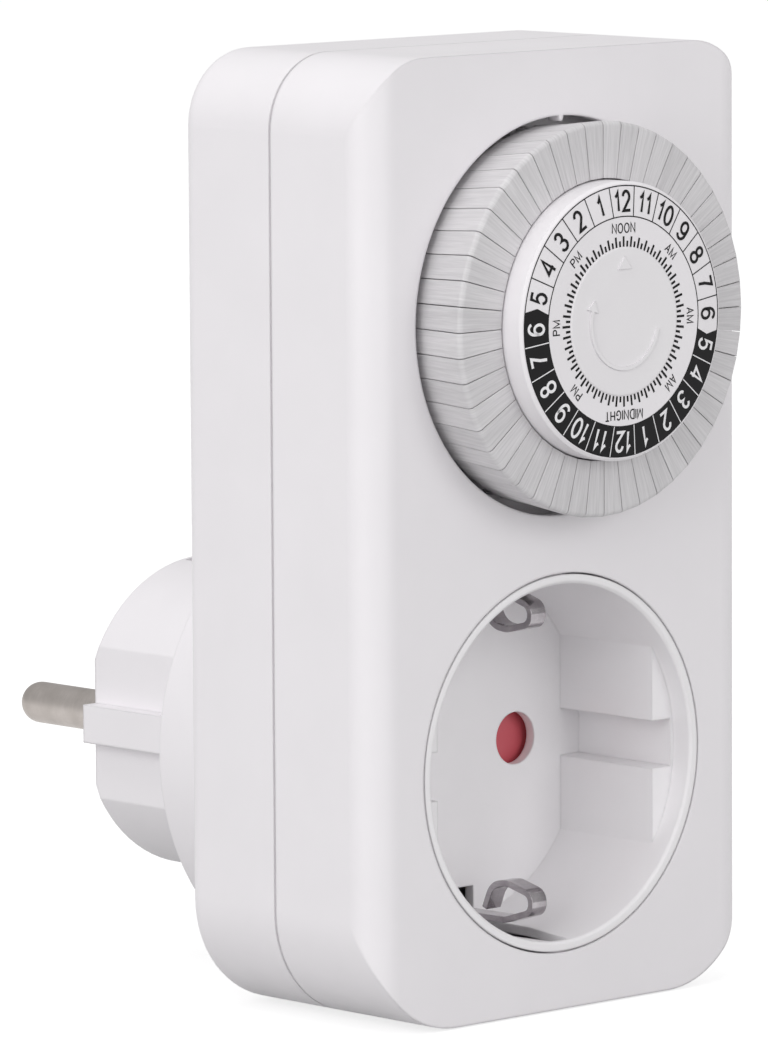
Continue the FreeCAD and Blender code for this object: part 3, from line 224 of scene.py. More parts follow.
def grained(tree, grain_mm, depth_mm, edge_mm):
    """Fine grain and softened edges as a normal, at a real grain size in millimetres."""
    place = add(tree, "ShaderNodeTexCoord").outputs["Object"]
    grain = add(tree, "ShaderNodeTexNoise", {"Vector": place, "Scale": 1000 / grain_mm,
                                             "Detail": 2.0, "Roughness": 0.6})
    edge = add(tree, "ShaderNodeBevel", {"Radius": edge_mm * MM}, samples=6)
    bump = add(tree, "ShaderNodeBump", {"Strength": 0.35, "Distance": depth_mm * MM,
                                        "Height": grain.outputs["Fac"],
                                        "Normal": edge.outputs[0]})
    return place, bump.outputs[0]


def patches(tree, place, size_mm, low, high):
    """A slow variation between two values."""
    cloud = add(tree, "ShaderNodeTexNoise", {"Vector": place, "Scale": 1000 / size_mm,
                                             "Detail": 3.0, "Roughness": 0.55})
    spread = add(tree, "ShaderNodeMapRange", {"Value": cloud.outputs["Fac"], "From Min": 0.3,
                                              "From Max": 0.7, "To Min": low, "To Max": high})
    return spread.outputs[0]


def moulded(name, light, dark, rough, edge_mm):
    """An injection-moulded plastic: two near shades, satin grain, rounded edges."""
    made, tree = new_material(name)
    place, normal = grained(tree, GRAIN_MM, GRAIN_DEPTH_MM, edge_mm)
    shade = patches(tree, place, SHADE_PATCH_MM, 0.0, 1.0)
    colour = add(tree, "ShaderNodeMix", {0: shade, 6: linear(dark), 7: linear(light)},
                 data_type="RGBA")
    gloss = patches(tree, place, GLOSS_PATCH_MM, rough - 0.04, rough + 0.05)
    skin = add(tree, "ShaderNodeBsdfPrincipled", {"Base Color": colour.outputs[2],
                                                  "Roughness": gloss, "IOR": PLASTIC_IOR,
                                                  "Normal": normal})
    add(tree, "ShaderNodeOutputMaterial", {"Surface": skin.outputs[0]})
    return made


# The covers: satin, so that their highlights stay broad and their edges turn softly.
white_abs = moulded("white ABS, spark-eroded mould", "#f3f0f3", "#f0edf0", 0.47, edge_mm=0.45)
# The socket well: smoother, with clearer highlights along its grooves. Its colour is
# painted lighter, as painted light that lifts the shade inside the recess.
well_abs_painted_lighter = moulded("white ABS, polished mould, painted lighter", "#f7f5f7", "#f4f2f4", 0.36, edge_mm=0.35)
# The dial's cap: crisp small edges, so the raised arrow is drawn by thin lines of light.
cap_abs = moulded("white ABS, fine mould", "#f0eef0", "#edeaed", 0.34, edge_mm=0.12)
# The dial's base and face: even and smooth, as a surface for print has to be.
face_abs = moulded("white ABS, printed dial face", "#f3f0f3", "#efecef", 0.36, edge_mm=0.15)
# The shutter: a soft red with the waxy gloss of polypropylene.
red_pp = moulded("red polypropylene", "#dc6a73", "#cf5863", 0.28, edge_mm=0.15)
# Carriers and the lever inside: unfilled polyamide, off-white and dull.
inner_pa = moulded("unfilled polyamide", "#d9d7cf", "#d0cec6", 0.45, edge_mm=0.15)
# Gears: acetal, cream and slightly slick, with sharp teeth.
gear_pom = moulded("natural acetal", "#efece2", "#e7e3d7", 0.30, edge_mm=0.08)
print("plastics", [m.name for m in bpy.data.materials][1:])

# %% [markdown]
# ## Grey tab plastic
# The 48 tabs are light grey. Seen close, each carries fine streaks that run away from the
# dial's centre on the front, and along the depth on the rim, because the mould was ground
# in that direction. A streak is a line of constant angle round the dial, so the pattern is
# noise read from the angle, with almost no change along radius and depth. Each tab is also
# a shade of its own, from one of many mould cavities.

# %% Streaked tab plastic
DIAL_HEIGHT = 49.8 * MM
TABS = 48
# A streak is 0.26 mm wide where the radius is 21 mm, and changes slowly, over 6.25 mm, along
# its length. The tab's own shade makes up 0.3 of the tone, and its streaks the rest.
STREAK_MM, STREAK_LONG_MM, STREAK_AT_MM = 0.26, 6.25, 21.0
STREAK = STREAK_MM / STREAK_AT_MM
TONE_SHARE = 0.3

# Polystyrene: a dull grey sheen, broken into fine lines by the grinding of the mould.
tab_ps, tree = new_material("light grey polystyrene, ground mould")
place, normal = grained(tree, grain_mm=0.2, depth_mm=0.006, edge_mm=0.16)
parts = add(tree, "ShaderNodeSeparateXYZ", {0: place})
lift = add(tree, "ShaderNodeMath", {0: parts.outputs["Z"], 1: DIAL_HEIGHT}, operation="SUBTRACT")
angle = add(tree, "ShaderNodeMath", {0: parts.outputs["X"], 1: lift.outputs[0]},
            operation="ARCTAN2").outputs[0]
cell = add(tree, "ShaderNodeMath", {0: angle, 1: TABS / (2 * math.pi)}, operation="MULTIPLY")
cell = add(tree, "ShaderNodeMath", {0: cell.outputs[0]}, operation="FLOOR")
tone = add(tree, "ShaderNodeTexWhiteNoise", {"W": cell.outputs[0]}, noise_dimensions="1D")
flat = add(tree, "ShaderNodeVectorMath", {0: place, 1: (1, 0, 1)}, operation="MULTIPLY")
centred = add(tree, "ShaderNodeVectorMath", {0: flat.outputs[0], 1: (0, 0, DIAL_HEIGHT)},
              operation="SUBTRACT")
radius = add(tree, "ShaderNodeVectorMath", {0: centred.outputs[0]}, operation="LENGTH")
along = add(tree, "ShaderNodeCombineXYZ", {"X": angle, "Y": radius.outputs["Value"],
                                           "Z": parts.outputs["Y"]})
per_metre = 1000 / STREAK_LONG_MM
stretched = add(tree, "ShaderNodeVectorMath", {0: along.outputs[0],
                                               1: (1 / STREAK, per_metre, per_metre)},
                operation="MULTIPLY")
streak = add(tree, "ShaderNodeTexNoise", {"Vector": stretched.outputs[0], "Scale": 1.0,
                                          "Detail": 2.5, "Roughness": 0.7})
sharp = add(tree, "ShaderNodeMapRange", {"Value": streak.outputs["Fac"], "From Min": 0.3,
                                         "From Max": 0.72, "To Min": 0.0, "To Max": 1.0})
mixed = add(tree, "ShaderNodeMath", {0: tone.outputs["Value"], 1: TONE_SHARE},
            operation="MULTIPLY")
mixed = add(tree, "ShaderNodeMath", {0: sharp.outputs[0], 1: 1 - TONE_SHARE,
                                     2: mixed.outputs[0]}, operation="MULTIPLY_ADD")
colour = add(tree, "ShaderNodeMix", {0: mixed.outputs[0], 6: linear("#c4c2c4"),
                                     7: linear("#e2e0e2")}, data_type="RGBA")
scratch = add(tree, "ShaderNodeBump", {"Strength": 0.25, "Distance": 0.01 * MM,
                                       "Height": streak.outputs["Fac"], "Normal": normal})
skin = add(tree, "ShaderNodeBsdfPrincipled", {"Base Color": colour.outputs[2],
                                              "Roughness": 0.46, "IOR": 1.59,
                                              "Normal": scratch.outputs[0]})
add(tree, "ShaderNodeOutputMaterial", {"Surface": skin.outputs[0]})
print("streak width in mm", STREAK_MM)

# %% [markdown]
# ## Metals
# The plug pins are brass, turned from rod and nickel plated: grey with a warm cast, and fine
# rings left by the lathe. The earth clips are nickel plated spring strip, rolled, so their
# lines run along the strip and they shine more. Screws and pins are zinc plated steel, the
# contact bars bare brass, and the motor can drawn sheet steel.

# %% Metal
METAL_EDGE_MM = 0.12
METAL_PATCH_MM = 3


def metal(name, light, dark, rough, stretch, line_mm):
    """A metal whose fine lines follow the long direction given by stretch."""
    made, tree = new_material(name)
    place = add(tree, "ShaderNodeTexCoord").outputs["Object"]
    edge = add(tree, "ShaderNodeBevel", {"Radius": METAL_EDGE_MM * MM}, samples=6)
    per_metre = [share * 1000 / line_mm for share in stretch]
    lines = add(tree, "ShaderNodeVectorMath", {0: place, 1: per_metre}, operation="MULTIPLY")
    brushed = add(tree, "ShaderNodeTexNoise", {"Vector": lines.outputs[0], "Scale": 1.0,
                                               "Detail": 3.0, "Roughness": 0.65})
    shade = patches(tree, place, METAL_PATCH_MM, 0.0, 1.0)
    both = add(tree, "ShaderNodeMath", {0: brushed.outputs["Fac"], 1: shade},
               operation="MULTIPLY")
    colour = add(tree, "ShaderNodeMix", {0: both.outputs[0], 6: linear(dark), 7: linear(light)},
                 data_type="RGBA")
    gloss = add(tree, "ShaderNodeMapRange", {"Value": brushed.outputs["Fac"],
                                             "To Min": rough - 0.05, "To Max": rough + 0.08})
    bump = add(tree, "ShaderNodeBump", {"Strength": 0.2, "Distance": 0.004 * MM,
                                        "Height": brushed.outputs["Fac"],
                                        "Normal": edge.outputs[0]})
    skin = add(tree, "ShaderNodeBsdfPrincipled", {"Base Color": colour.outputs[2],
                                                  "Metallic": 1.0,
                                                  "Roughness": gloss.outputs[0],
                                                  "Normal": bump.outputs[0]})
    add(tree, "ShaderNodeOutputMaterial", {"Surface": skin.outputs[0]})
    return made


# How fast the lines change along X, Y and Z. A low share draws them out in that direction.
ROUND_PIN = (0.1, 1.0, 0.1)
ALONG_Y = (1.0, 0.05, 1.0)
EVEN = (1.0, 1.0, 1.0)
# The plug's pins: a soft warm grey, since the lathe's fine rings spread each highlight.
pin_nickel = metal("nickel plated brass, turned", "#d4cdc9", "#b4ada8", 0.44, ROUND_PIN, 0.12)
# Earth clips and strips: rolled strip, nearly a mirror, with strong light and dark along its
# bends. Its dark second colour is painted dark reflection, mixed in streaks along the strip.
clip_nickel_painted_reflection = metal("nickel plated spring strip", "#e0dcde", "#948f93", 0.12, ALONG_Y, 0.1)
# Screws, spring and small pins: a cool, even grey shine.
steel_zinc = metal("zinc plated steel", "#c6c8ca", "#b2b4b6", 0.28, EVEN, 0.15)
# Contact bars and clips: yellow, brushed along the strip.
brass_bare = metal("bare rolled brass", "#dcb878", "#c9a062", 0.25, ALONG_Y, 0.12)
# The motor's can: a duller grey, as deep drawing leaves it.
can_steel = metal("drawn sheet steel", "#bcbbb7", "#a5a4a0", 0.38, EVEN, 0.3)
print("metals", [m.name for m in (pin_nickel, clip_nickel_painted_reflection, steel_zinc, brass_bare, can_steel)])

# %% Give every CAD node its material
BY_SLOT = {"housing_plastic": white_abs, "tab_plastic": tab_ps, "dial_plastic": face_abs,
           "shutter_plastic": red_pp, "inner_plastic": inner_pa, "gear_plastic": gear_pom,
           "motor_can": can_steel, "pin_nickel": pin_nickel, "contact_nickel": clip_nickel_painted_reflection,
           "contact_brass": brass_bare, "spring_steel": steel_zinc}
for part in frame["record"]["subparts"]:
    mesh = nodes[part["node"]].data
    mesh.materials.clear()
    mesh.materials.append(BY_SLOT[part["material_slot"]])
# The socket well gets the plastic painted lighter, which lifts the shade inside the recess.
nodes["socket_well"].data.materials[0] = well_abs_painted_lighter

# %% [markdown]
# ## The push-in tabs
# Every tab is the same wedge: flat sides that point at the dial's centre, an outer face that
# narrows towards the housing, a rounded front edge and a stem that the switch feels. A rule
# this regular suits Geometry Nodes: the points of a cube are moved onto the wedge, the wedge
# is copied to both half hours, and the pair is turned to its hour. The cube has rows of
# points along its depth: the front half of them goes round the edge in a quarter circle, and
# the back half runs straight. The modifier runs 24 times with another angle, because every
# pair moves by itself. A small bevel softens the other edges.

# %% The tree that shapes one pair of tabs
TAB_STEP = 360 / TABS
TAB_GAP = 0.13
TAB_BEVEL_MM = 0.12
TAB_ROWS = 13
HOUR_STEP = 15.0
TAB = {"Front": FRONT - 6.6 * MM, "Waist": FRONT, "Back": FRONT + 1.6 * MM,
       "Inner radius": 15.5 * MM, "Outer radius": 21.75 * MM, "Waist radius": 21.05 * MM,
       "Edge round": 0.55 * MM, "Half angle": math.radians(TAB_STEP / 2 - TAB_GAP),
       "Pair angle": math.radians(TAB_STEP), "Axis height": DIAL_HEIGHT, "Hour angle": 0.0,
       "Stem end": FRONT + 9.3 * MM, "Stem low": 17.0 * MM, "Stem high": 20.6 * MM,
       "Stem half": 0.62 * MM}


def new_tree(name, sizes, extra=()):
    """An empty geometry tree with named number inputs and a material input."""
    tree = bpy.data.node_groups.new(name, "GeometryNodeTree")
    tree.interface.new_socket("Geometry", in_out="OUTPUT", socket_type="NodeSocketGeometry")
    for size_name in sizes:
        tree.interface.new_socket(size_name, in_out="INPUT", socket_type="NodeSocketFloat")
    for size_name, kind in extra:
        tree.interface.new_socket(size_name, in_out="INPUT", socket_type=kind)
    tree.interface.new_socket("Material", in_out="INPUT", socket_type="NodeSocketMaterial")
    return tree, tree.nodes.new("NodeGroupInput").outputs


def calc(tree, operation, first, second=0.0, third=0.0):
    """One step of arithmetic; each of the three may be a number or a node's output."""
    return add(tree, "ShaderNodeMath", {0: first, 1: second, 2: third},
               operation=operation).outputs[0]


tab_tree, given = new_tree("pair of push-in tabs", TAB)
cube = add(tab_tree, "GeometryNodeMeshCube", {"Size": (2, 2, 2), "Vertices X": 2,
                                              "Vertices Y": TAB_ROWS, "Vertices Z": 2})
position = add(tab_tree, "GeometryNodeInputPosition").outputs[0]
corner = add(tab_tree, "ShaderNodeSeparateXYZ", {0: position})
side, depth, height = corner.outputs[0], corner.outputs[1], corner.outputs[2]
# Along the depth, -1 to 0 is the quarter circle at the front and 0 to 1 the straight part.
round_share = calc(tab_tree, "MINIMUM", calc(tab_tree, "ADD", depth, 1.0), 1.0)
bend = calc(tab_tree, "MULTIPLY", round_share, math.pi / 2)
straight_share = calc(tab_tree, "MAXIMUM", depth, 0.0)
round_end = calc(tab_tree, "ADD", given["Front"], given["Edge round"])
y_straight = calc(tab_tree, "MULTIPLY", straight_share,
                  calc(tab_tree, "SUBTRACT", given["Back"], round_end))
y_round = calc(tab_tree, "MULTIPLY", given["Edge round"], calc(tab_tree, "COSINE", bend))
y_corner = calc(tab_tree, "ADD", y_straight, calc(tab_tree, "SUBTRACT", round_end, y_round))
# The outer radius shrinks towards the waist, and by the missing part of the quarter circle.
taper_share = calc(tab_tree, "DIVIDE", y_straight,
                   calc(tab_tree, "SUBTRACT", given["Waist"], round_end))
taper = calc(tab_tree, "MULTIPLY", calc(tab_tree, "MINIMUM", taper_share, 1.0),
             calc(tab_tree, "SUBTRACT", given["Outer radius"], given["Waist radius"]))
missing = calc(tab_tree, "SUBTRACT", 1.0, calc(tab_tree, "SINE", bend))
drawn_in = calc(tab_tree, "MULTIPLY_ADD", given["Edge round"], missing, taper)
outer = calc(tab_tree, "SUBTRACT", given["Outer radius"], drawn_in)
is_outer = calc(tab_tree, "GREATER_THAN", height, 0.0)
reach_out = calc(tab_tree, "MULTIPLY_ADD", is_outer,
                 calc(tab_tree, "SUBTRACT", outer, given["Inner radius"]), given["Inner radius"])
# The sides point at the dial's centre, so the width grows with the radius.
slope = calc(tab_tree, "TANGENT", given["Half angle"])
x_corner = calc(tab_tree, "MULTIPLY", side, calc(tab_tree, "MULTIPLY", reach_out, slope))
wedge_point = add(tab_tree, "ShaderNodeCombineXYZ", {0: x_corner, 1: y_corner, 2: reach_out})
wedge = add(tab_tree, "GeometryNodeSetPosition", {"Geometry": cube.outputs[0],
                                                  "Position": wedge_point.outputs[0]})
# The stem is a plain bar that starts inside the wedge and ends behind it.
stem_width = calc(tab_tree, "MULTIPLY", given["Stem half"], 2.0)
stem_size = add(tab_tree, "ShaderNodeCombineXYZ", {
    0: stem_width, 1: calc(tab_tree, "SUBTRACT", given["Stem end"], given["Waist"]),
    2: calc(tab_tree, "SUBTRACT", given["Stem high"], given["Stem low"])})
stem = add(tab_tree, "GeometryNodeMeshCube", {"Size": stem_size.outputs[0]})
stem_depths = calc(tab_tree, "ADD", given["Stem end"], given["Waist"])
stem_heights = calc(tab_tree, "ADD", given["Stem high"], given["Stem low"])
stem_place = add(tab_tree, "ShaderNodeCombineXYZ", {
    1: calc(tab_tree, "MULTIPLY", stem_depths, 0.5),
    2: calc(tab_tree, "MULTIPLY", stem_heights, 0.5)})
stem_there = add(tab_tree, "GeometryNodeTransform", {"Geometry": stem.outputs[0],
                                                     "Translation": stem_place.outputs[0]})
tab = add(tab_tree, "GeometryNodeJoinGeometry")
tab_tree.links.new(wedge.outputs[0], tab.inputs[0])
tab_tree.links.new(stem_there.outputs[0], tab.inputs[0])
# Two copies stand half a step to each side of the hour, and then move up to the dial's axis.
two = add(tab_tree, "GeometryNodeMeshLine", {"Count": 2, "Offset": (0, 0, 0)})
number = add(tab_tree, "GeometryNodeInputIndex").outputs[0]
half = calc(tab_tree, "SUBTRACT", number, 0.5)
pair_turn = calc(tab_tree, "MULTIPLY_ADD", half, given["Pair angle"], given["Hour angle"])
pair_spin = add(tab_tree, "ShaderNodeCombineXYZ", {1: pair_turn})
pair = add(tab_tree, "GeometryNodeInstanceOnPoints", {"Points": two.outputs[0],
                                                      "Instance": tab.outputs[0],
                                                      "Rotation": pair_spin.outputs[0]})
lift_to_axis = add(tab_tree, "ShaderNodeCombineXYZ", {2: given["Axis height"]})
lifted = add(tab_tree, "GeometryNodeTransform", {"Geometry": pair.outputs[0],
                                                 "Translation": lift_to_axis.outputs[0]})
real = add(tab_tree, "GeometryNodeRealizeInstances", {"Geometry": lifted.outputs[0]})
coated = add(tab_tree, "GeometryNodeSetMaterial", {"Geometry": real.outputs[0],
                                                   "Material": given["Material"]})
add(tab_tree, "NodeGroupOutput", {"Geometry": coated.outputs[0]})
print("tab tree has", len(tab_tree.nodes), "nodes")

# %% Run the tree once for each hour
def grown(name, tree, sizes, material, bevel_mm=0.0):
    """Run a geometry tree with these inputs and return its result as a plain mesh piece."""
    host = bpy.data.objects.new(name, bpy.data.meshes.new(name + " host"))
    scene.collection.objects.link(host)
    modifier = host.modifiers.new("grow", "NODES")
    modifier.node_group = tree
    for item in tree.interface.items_tree:
        if item.in_out == "INPUT" and item.name in sizes:
            modifier[item.identifier] = sizes[item.name]
        if item.in_out == "INPUT" and item.name == "Material":
            modifier[item.identifier] = material
    if bevel_mm:
        rounding = host.modifiers.new("soft edges", "BEVEL")
        rounding.width = bevel_mm * MM
        rounding.segments = 2
        rounding.limit_method = "ANGLE"
    evaluated = host.evaluated_get(bpy.context.evaluated_depsgraph_get())
    mesh = bpy.data.meshes.new_from_object(evaluated)
    mesh.name = name
    bpy.data.objects.remove(host)
    piece = bpy.data.objects.new(name, mesh)
    scene.collection.objects.link(piece)
    return piece


for hour in range(1, 25):
    sizes = dict(TAB)
    sizes["Hour angle"] = math.radians(HOUR_STEP * hour)
    tabs = grown("tab_pair_%02d" % hour, tab_tree, sizes, tab_ps, TAB_BEVEL_MM)
    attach(tabs, "tabs_%02d" % hour)
    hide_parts("hour_tabs_%02d" % hour)
print("one pair has", len(tabs.data.polygons), "faces")

# %% [markdown]
# ## The print on the dial
# The hour ring is pad printed: black ink on the white face, with the night hours reversed
# out of a dark band. Print is very thin, so each mark is a flat shape a few hundredths of a
# millimetre above the face. Marks that repeat, the quarter-hour ticks and the cell dividers,
# come from one small geometry tree; rings, dark cells and letters are made in mesh code.
# Figures and words are pen strokes of one width. The words are about a millimetre high, and
# at that size a type face with thick and thin parts clogs.

# %% Ink
COVER_MM = 0.4


def ink(name, code, rough):
    """Matt print with the slightly uneven cover of a pad print."""
    made, tree = new_material(name)
    place = add(tree, "ShaderNodeTexCoord").outputs["Object"]
    cover = add(tree, "ShaderNodeTexNoise", {"Vector": place, "Scale": 1000 / COVER_MM,
                                             "Detail": 3.0})
    shade = add(tree, "ShaderNodeMapRange", {"Value": cover.outputs["Fac"], "To Min": 0.85,
                                             "To Max": 1.12})
    colour = add(tree, "ShaderNodeVectorMath", {0: linear(code)[:3], 3: shade.outputs[0]},
                 operation="SCALE")
    skin = add(tree, "ShaderNodeBsdfPrincipled", {"Base Color": colour.outputs[0],
                                                  "Roughness": rough, "IOR": 1.3})
    add(tree, "ShaderNodeOutputMaterial", {"Surface": skin.outputs[0]})
    return made


# Day hours, rings and the night band: a matt black that keeps its depth under the lamps.
black_ink = ink("black pad-print ink", "#0e0d0f", 0.6)
# Night hours: as white as the face, because the real ones are the face left bare.
white_ink = ink("white reversed print", "#f4f3f5", 0.5)
FACE = FRONT - 9.7 * MM
FLAT_EDGE, RIM_EDGE, SLOPE = 11.5, 15.05, 0.3
OUTER, INNER = 14.87, 11.52
LIFT, TOP_LIFT = 0.02, 0.04


def face_at(radius_mm, lift_mm):
    """Where the face is along Y at a radius: flat inside, sloping back under the numbers."""
    out = max(0.0, radius_mm - FLAT_EDGE) / (RIM_EDGE - FLAT_EDGE)
    return FACE + (SLOPE * out - lift_mm) * MM


print("dial face at", round(FACE / MM, 2), "mm")

# %% Rings, dark cells and letters
RING_STEPS = 144
# Ends nearer than this close a stroke, and the limit keeps a sharp corner from growing long.
SAME_POINT = 1e-4
MITRE_LIMIT = 0.45
STROKE_LIFT = 0.002


def around(radius_mm, degrees, y):
    """A point on the dial; degrees run clockwise from the top, seen from the front."""
    turned = math.radians(degrees)
    return Vector((radius_mm * MM * math.sin(turned), y,
                   DIAL_HEIGHT + radius_mm * MM * math.cos(turned)))


def on_face(radius_mm, degrees, lift_mm):
    """A point on the dial that lies just above its face."""
    return around(radius_mm, degrees, face_at(radius_mm, lift_mm))


def flat_band(mesh, inner_edge, outer_edge, lift_mm):
    """A strip of faces between two lists of (radius, degrees) points."""
    rows = [[mesh.verts.new(on_face(r, a, lift_mm)) for r, a in edge]
            for edge in (inner_edge, outer_edge)]
    for i in range(len(inner_edge) - 1):
        mesh.faces.new((rows[0][i], rows[0][i + 1], rows[1][i + 1], rows[1][i]))


def thin_ring(mesh, radius_mm, width_mm, lift_mm):
    """A printed circle."""
    turns = [360.0 * i / RING_STEPS for i in range(RING_STEPS + 1)]
    flat_band(mesh, [(radius_mm - width_mm / 2, a) for a in turns],
              [(radius_mm + width_mm / 2, a) for a in turns], lift_mm)


def bow(x, y, reach_x, reach_y, start, end, steps=9):
    """Points on part of an ellipse; degrees run anticlockwise from the right."""
    turns = [math.radians(start + (end - start) * i / steps) for i in range(steps + 1)]
    return [(x + reach_x * math.cos(t), y + reach_y * math.sin(t)) for t in turns]


# Each figure is its width as a share of its height, and its pen strokes in a box of 1 by 1.
ZERO = bow(0.5, 0.5, 0.5, 0.5, 90, 450, 24)
TWO = bow(0.5, 0.72, 0.46, 0.28, 175, -30) + [(0.02, 0), (1, 0)]
THREE = bow(0.46, 0.75, 0.42, 0.25, 160, -90) + bow(0.46, 0.26, 0.52, 0.26, 90, -165)[1:]
FIVE = [(0.92, 1), (0.17, 1), (0.06, 0.50)] + bow(0.48, 0.32, 0.5, 0.32, 125, -160)
SIX = bow(0.58, 0.62, 0.58, 0.38, 35, 180, 8) + bow(0.5, 0.31, 0.5, 0.31, 180, 540, 20)[1:]
EIGHT_HIGH = bow(0.5, 0.76, 0.42, 0.24, -90, 270, 20)
EIGHT_LOW = bow(0.5, 0.26, 0.5, 0.26, 90, 450, 20)
DEE = [(0.4, 0), (0, 0), (0, 1), (0.4, 1)] + bow(0.4, 0.5, 0.6, 0.5, 90, -90)[1:]
GEE = bow(0.5, 0.5, 0.5, 0.5, 40, 340, 14) + [(0.98, 0.46), (0.55, 0.46)]
PEE = [(0, 0), (0, 1), (0.6, 1)] + bow(0.6, 0.76, 0.4, 0.24, 90, -90)[1:] + [(0, 0.52)]
GLYPHS = {
    "0": (0.58, [ZERO]),
    "1": (0.34, [[(0, 0.72), (0.45, 0.80), (0.85, 1), (0.85, 0)]]),
    "2": (0.57, [TWO]),
    "3": (0.57, [THREE]),
    "4": (0.60, [[(0.78, 0), (0.78, 1), (0, 0.27), (1, 0.27)]]),
    "5": (0.57, [FIVE]),
    "6": (0.57, [SIX]),
    "7": (0.56, [[(0, 1), (1, 1), (0.52, 0.45), (0.32, 0)]]),
    "8": (0.58, [EIGHT_HIGH, EIGHT_LOW]),
    "9": (0.57, [[(1 - x, 1 - y) for x, y in SIX]]),
    "N": (0.66, [[(0, 0), (0, 1), (1, 0), (1, 1)]]),
    "O": (0.74, [ZERO]),
    "M": (0.78, [[(0, 0), (0, 1), (0.5, 0.08), (1, 1), (1, 0)]]),
    "I": (0.12, [[(0.5, 0), (0.5, 1)]]),
    "D": (0.66, [DEE]),
    "G": (0.70, [GEE]),
    "H": (0.64, [[(0, 0), (0, 1)], [(1, 0), (1, 1)], [(0, 0.52), (1, 0.52)]]),
    "T": (0.60, [[(0, 1), (1, 1)], [(0.5, 1), (0.5, 0)]]),
    "A": (0.66, [[(0, 0), (0.5, 1), (1, 0)], [(0.2, 0.34), (0.8, 0.34)]]),
    "P": (0.60, [PEE])}


def ribbon(line, half):
    """The two edges of a pen stroke of even width along a line."""
    line = [Vector(p) for p in line]
    closed = (line[0] - line[-1]).length < SAME_POINT
    edges = []
    for i, p in enumerate(line):
        before = line[i - 1] if i else (line[-2] if closed else None)
        after = line[i + 1] if i < len(line) - 1 else (line[1] if closed else None)
        came = (p - before).normalized() if before else (after - p).normalized()
        goes = (after - p).normalized() if after else came
        square = Vector((-came.y, came.x))
        across = (square + Vector((-goes.y, goes.x))).normalized()
        across = across * half / max(MITRE_LIMIT, across.dot(square))
        edges.append((p + across, p - across))
    return edges


def letters(mesh, text, radius_mm, degrees, height_mm, pen_mm, space_mm, lift_mm):
    """Words drawn with a pen of one width, tops outwards, centred on one direction.

    The strokes of one letter lie at slightly different heights, so that none share a plane.
    """
    turned = math.radians(degrees)
    tangent = Vector((math.cos(turned), 0, -math.sin(turned)))
    outward = Vector((math.sin(turned), 0, math.cos(turned)))
    widths = [GLYPHS[c][0] * height_mm for c in text]
    start = -(sum(widths) + space_mm * (len(text) - 1)) / 2
    for c, width in zip(text, widths):
        for number, stroke in enumerate(GLYPHS[c][1]):
            path = [(start + pen_mm / 2 + x * (width - pen_mm),
                     radius_mm - height_mm / 2 + pen_mm / 2 + y * (height_mm - pen_mm))
                    for x, y in stroke]
            rows = []
            for pair in ribbon(path, pen_mm / 2):
                spots = [tangent * q.x * MM + outward * q.y * MM for q in pair]
                lift = lift_mm + STROKE_LIFT * number
                rows.append([mesh.verts.new(q + Vector((0, face_at(q.length / MM, lift),
                                                        DIAL_HEIGHT))) for q in spots])
            for near, far in zip(rows, rows[1:]):
                mesh.faces.new((near[0], far[0], far[1], near[1]))
        start += width + space_mm


def printed(name, mesh, material, body="dial"):
    """A piece of print from flat faces, all turned towards the eye."""
    data = bpy.data.meshes.new(name)
    mesh.normal_update()
    bmesh.ops.recalc_face_normals(mesh, faces=mesh.faces)
    for face in mesh.faces:
        if face.normal.y > 0:
            face.normal_flip()
    mesh.to_mesh(data)
    mesh.free()
    data.materials.append(material)
    piece = bpy.data.objects.new(name, data)
    scene.collection.objects.link(piece)
    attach(piece, body)
    return piece


# Line widths and letter heights are in millimetres, the ends of the night band in degrees.
LINE = 0.13
DIGIT = {"height_mm": 2.44, "pen_mm": 0.33, "space_mm": 0.29}
WORD = {"height_mm": 1.15, "pen_mm": 0.15, "space_mm": 0.13}
WORD_RADIUS = 10.25
MIDDLE = (OUTER + INNER) / 2
DAY_END, NIGHT_END, NIGHT_STEPS = -82.5, -262.5, 60
POINT = 2.4

black, band, white = bmesh.new(), bmesh.new(), bmesh.new()
thin_ring(black, OUTER, LINE, LIFT)
thin_ring(black, INNER, LINE, LIFT)
night = [DAY_END + (NIGHT_END - DAY_END) * i / NIGHT_STEPS for i in range(NIGHT_STEPS + 1)]
tips = [POINT] + [0.0] * (NIGHT_STEPS - 1) + [POINT]
pointed = [(MIDDLE, a + tip) for a, tip in zip(night, tips)]
flat_band(band, [(INNER, a) for a in night], pointed, LIFT)
flat_band(band, pointed, [(OUTER, a) for a in night], LIFT)
HOURS = [12, 1, 2, 3, 4, 5, 6, 7, 8, 9, 10, 11]
for k in range(24):
    dark = 6 <= k < 18
    letters(white if dark else black, str(HOURS[k % 12]), MIDDLE, -HOUR_STEP * k,
            lift_mm=TOP_LIFT, **DIGIT)
for text, degrees in (("NOON", 0), ("PM", -45), ("PM", -90), ("PM", -135), ("MIDNIGHT", 180),
                      ("AM", 135), ("AM", 90), ("AM", 45)):
    letters(black, text, WORD_RADIUS, degrees, lift_mm=LIFT, **WORD)
print("letters", len(black.verts) + len(white.verts), "corners")

# %% The tree that repeats marks round the dial
MARKS = {"First angle": 0.0, "Step angle": 0.0, "Inner radius": 0.0, "Long radius": 0.0,
         "Short radius": 0.0, "Width": 0.0, "Lift": 0.0, "Axis height": DIAL_HEIGHT,
         "Face": FACE, "Flat edge": FLAT_EDGE * MM, "Slope": SLOPE / (RIM_EDGE - FLAT_EDGE)}
marks_tree, given = new_tree("marks round the dial", MARKS, [("Count", "NodeSocketInt")])
line = add(marks_tree, "GeometryNodeMeshLine", {"Count": given["Count"], "Offset": (0, 0, 0)})
number = add(marks_tree, "GeometryNodeInputIndex").outputs[0]
spin = calc(marks_tree, "MULTIPLY_ADD", number, given["Step angle"], given["First angle"])
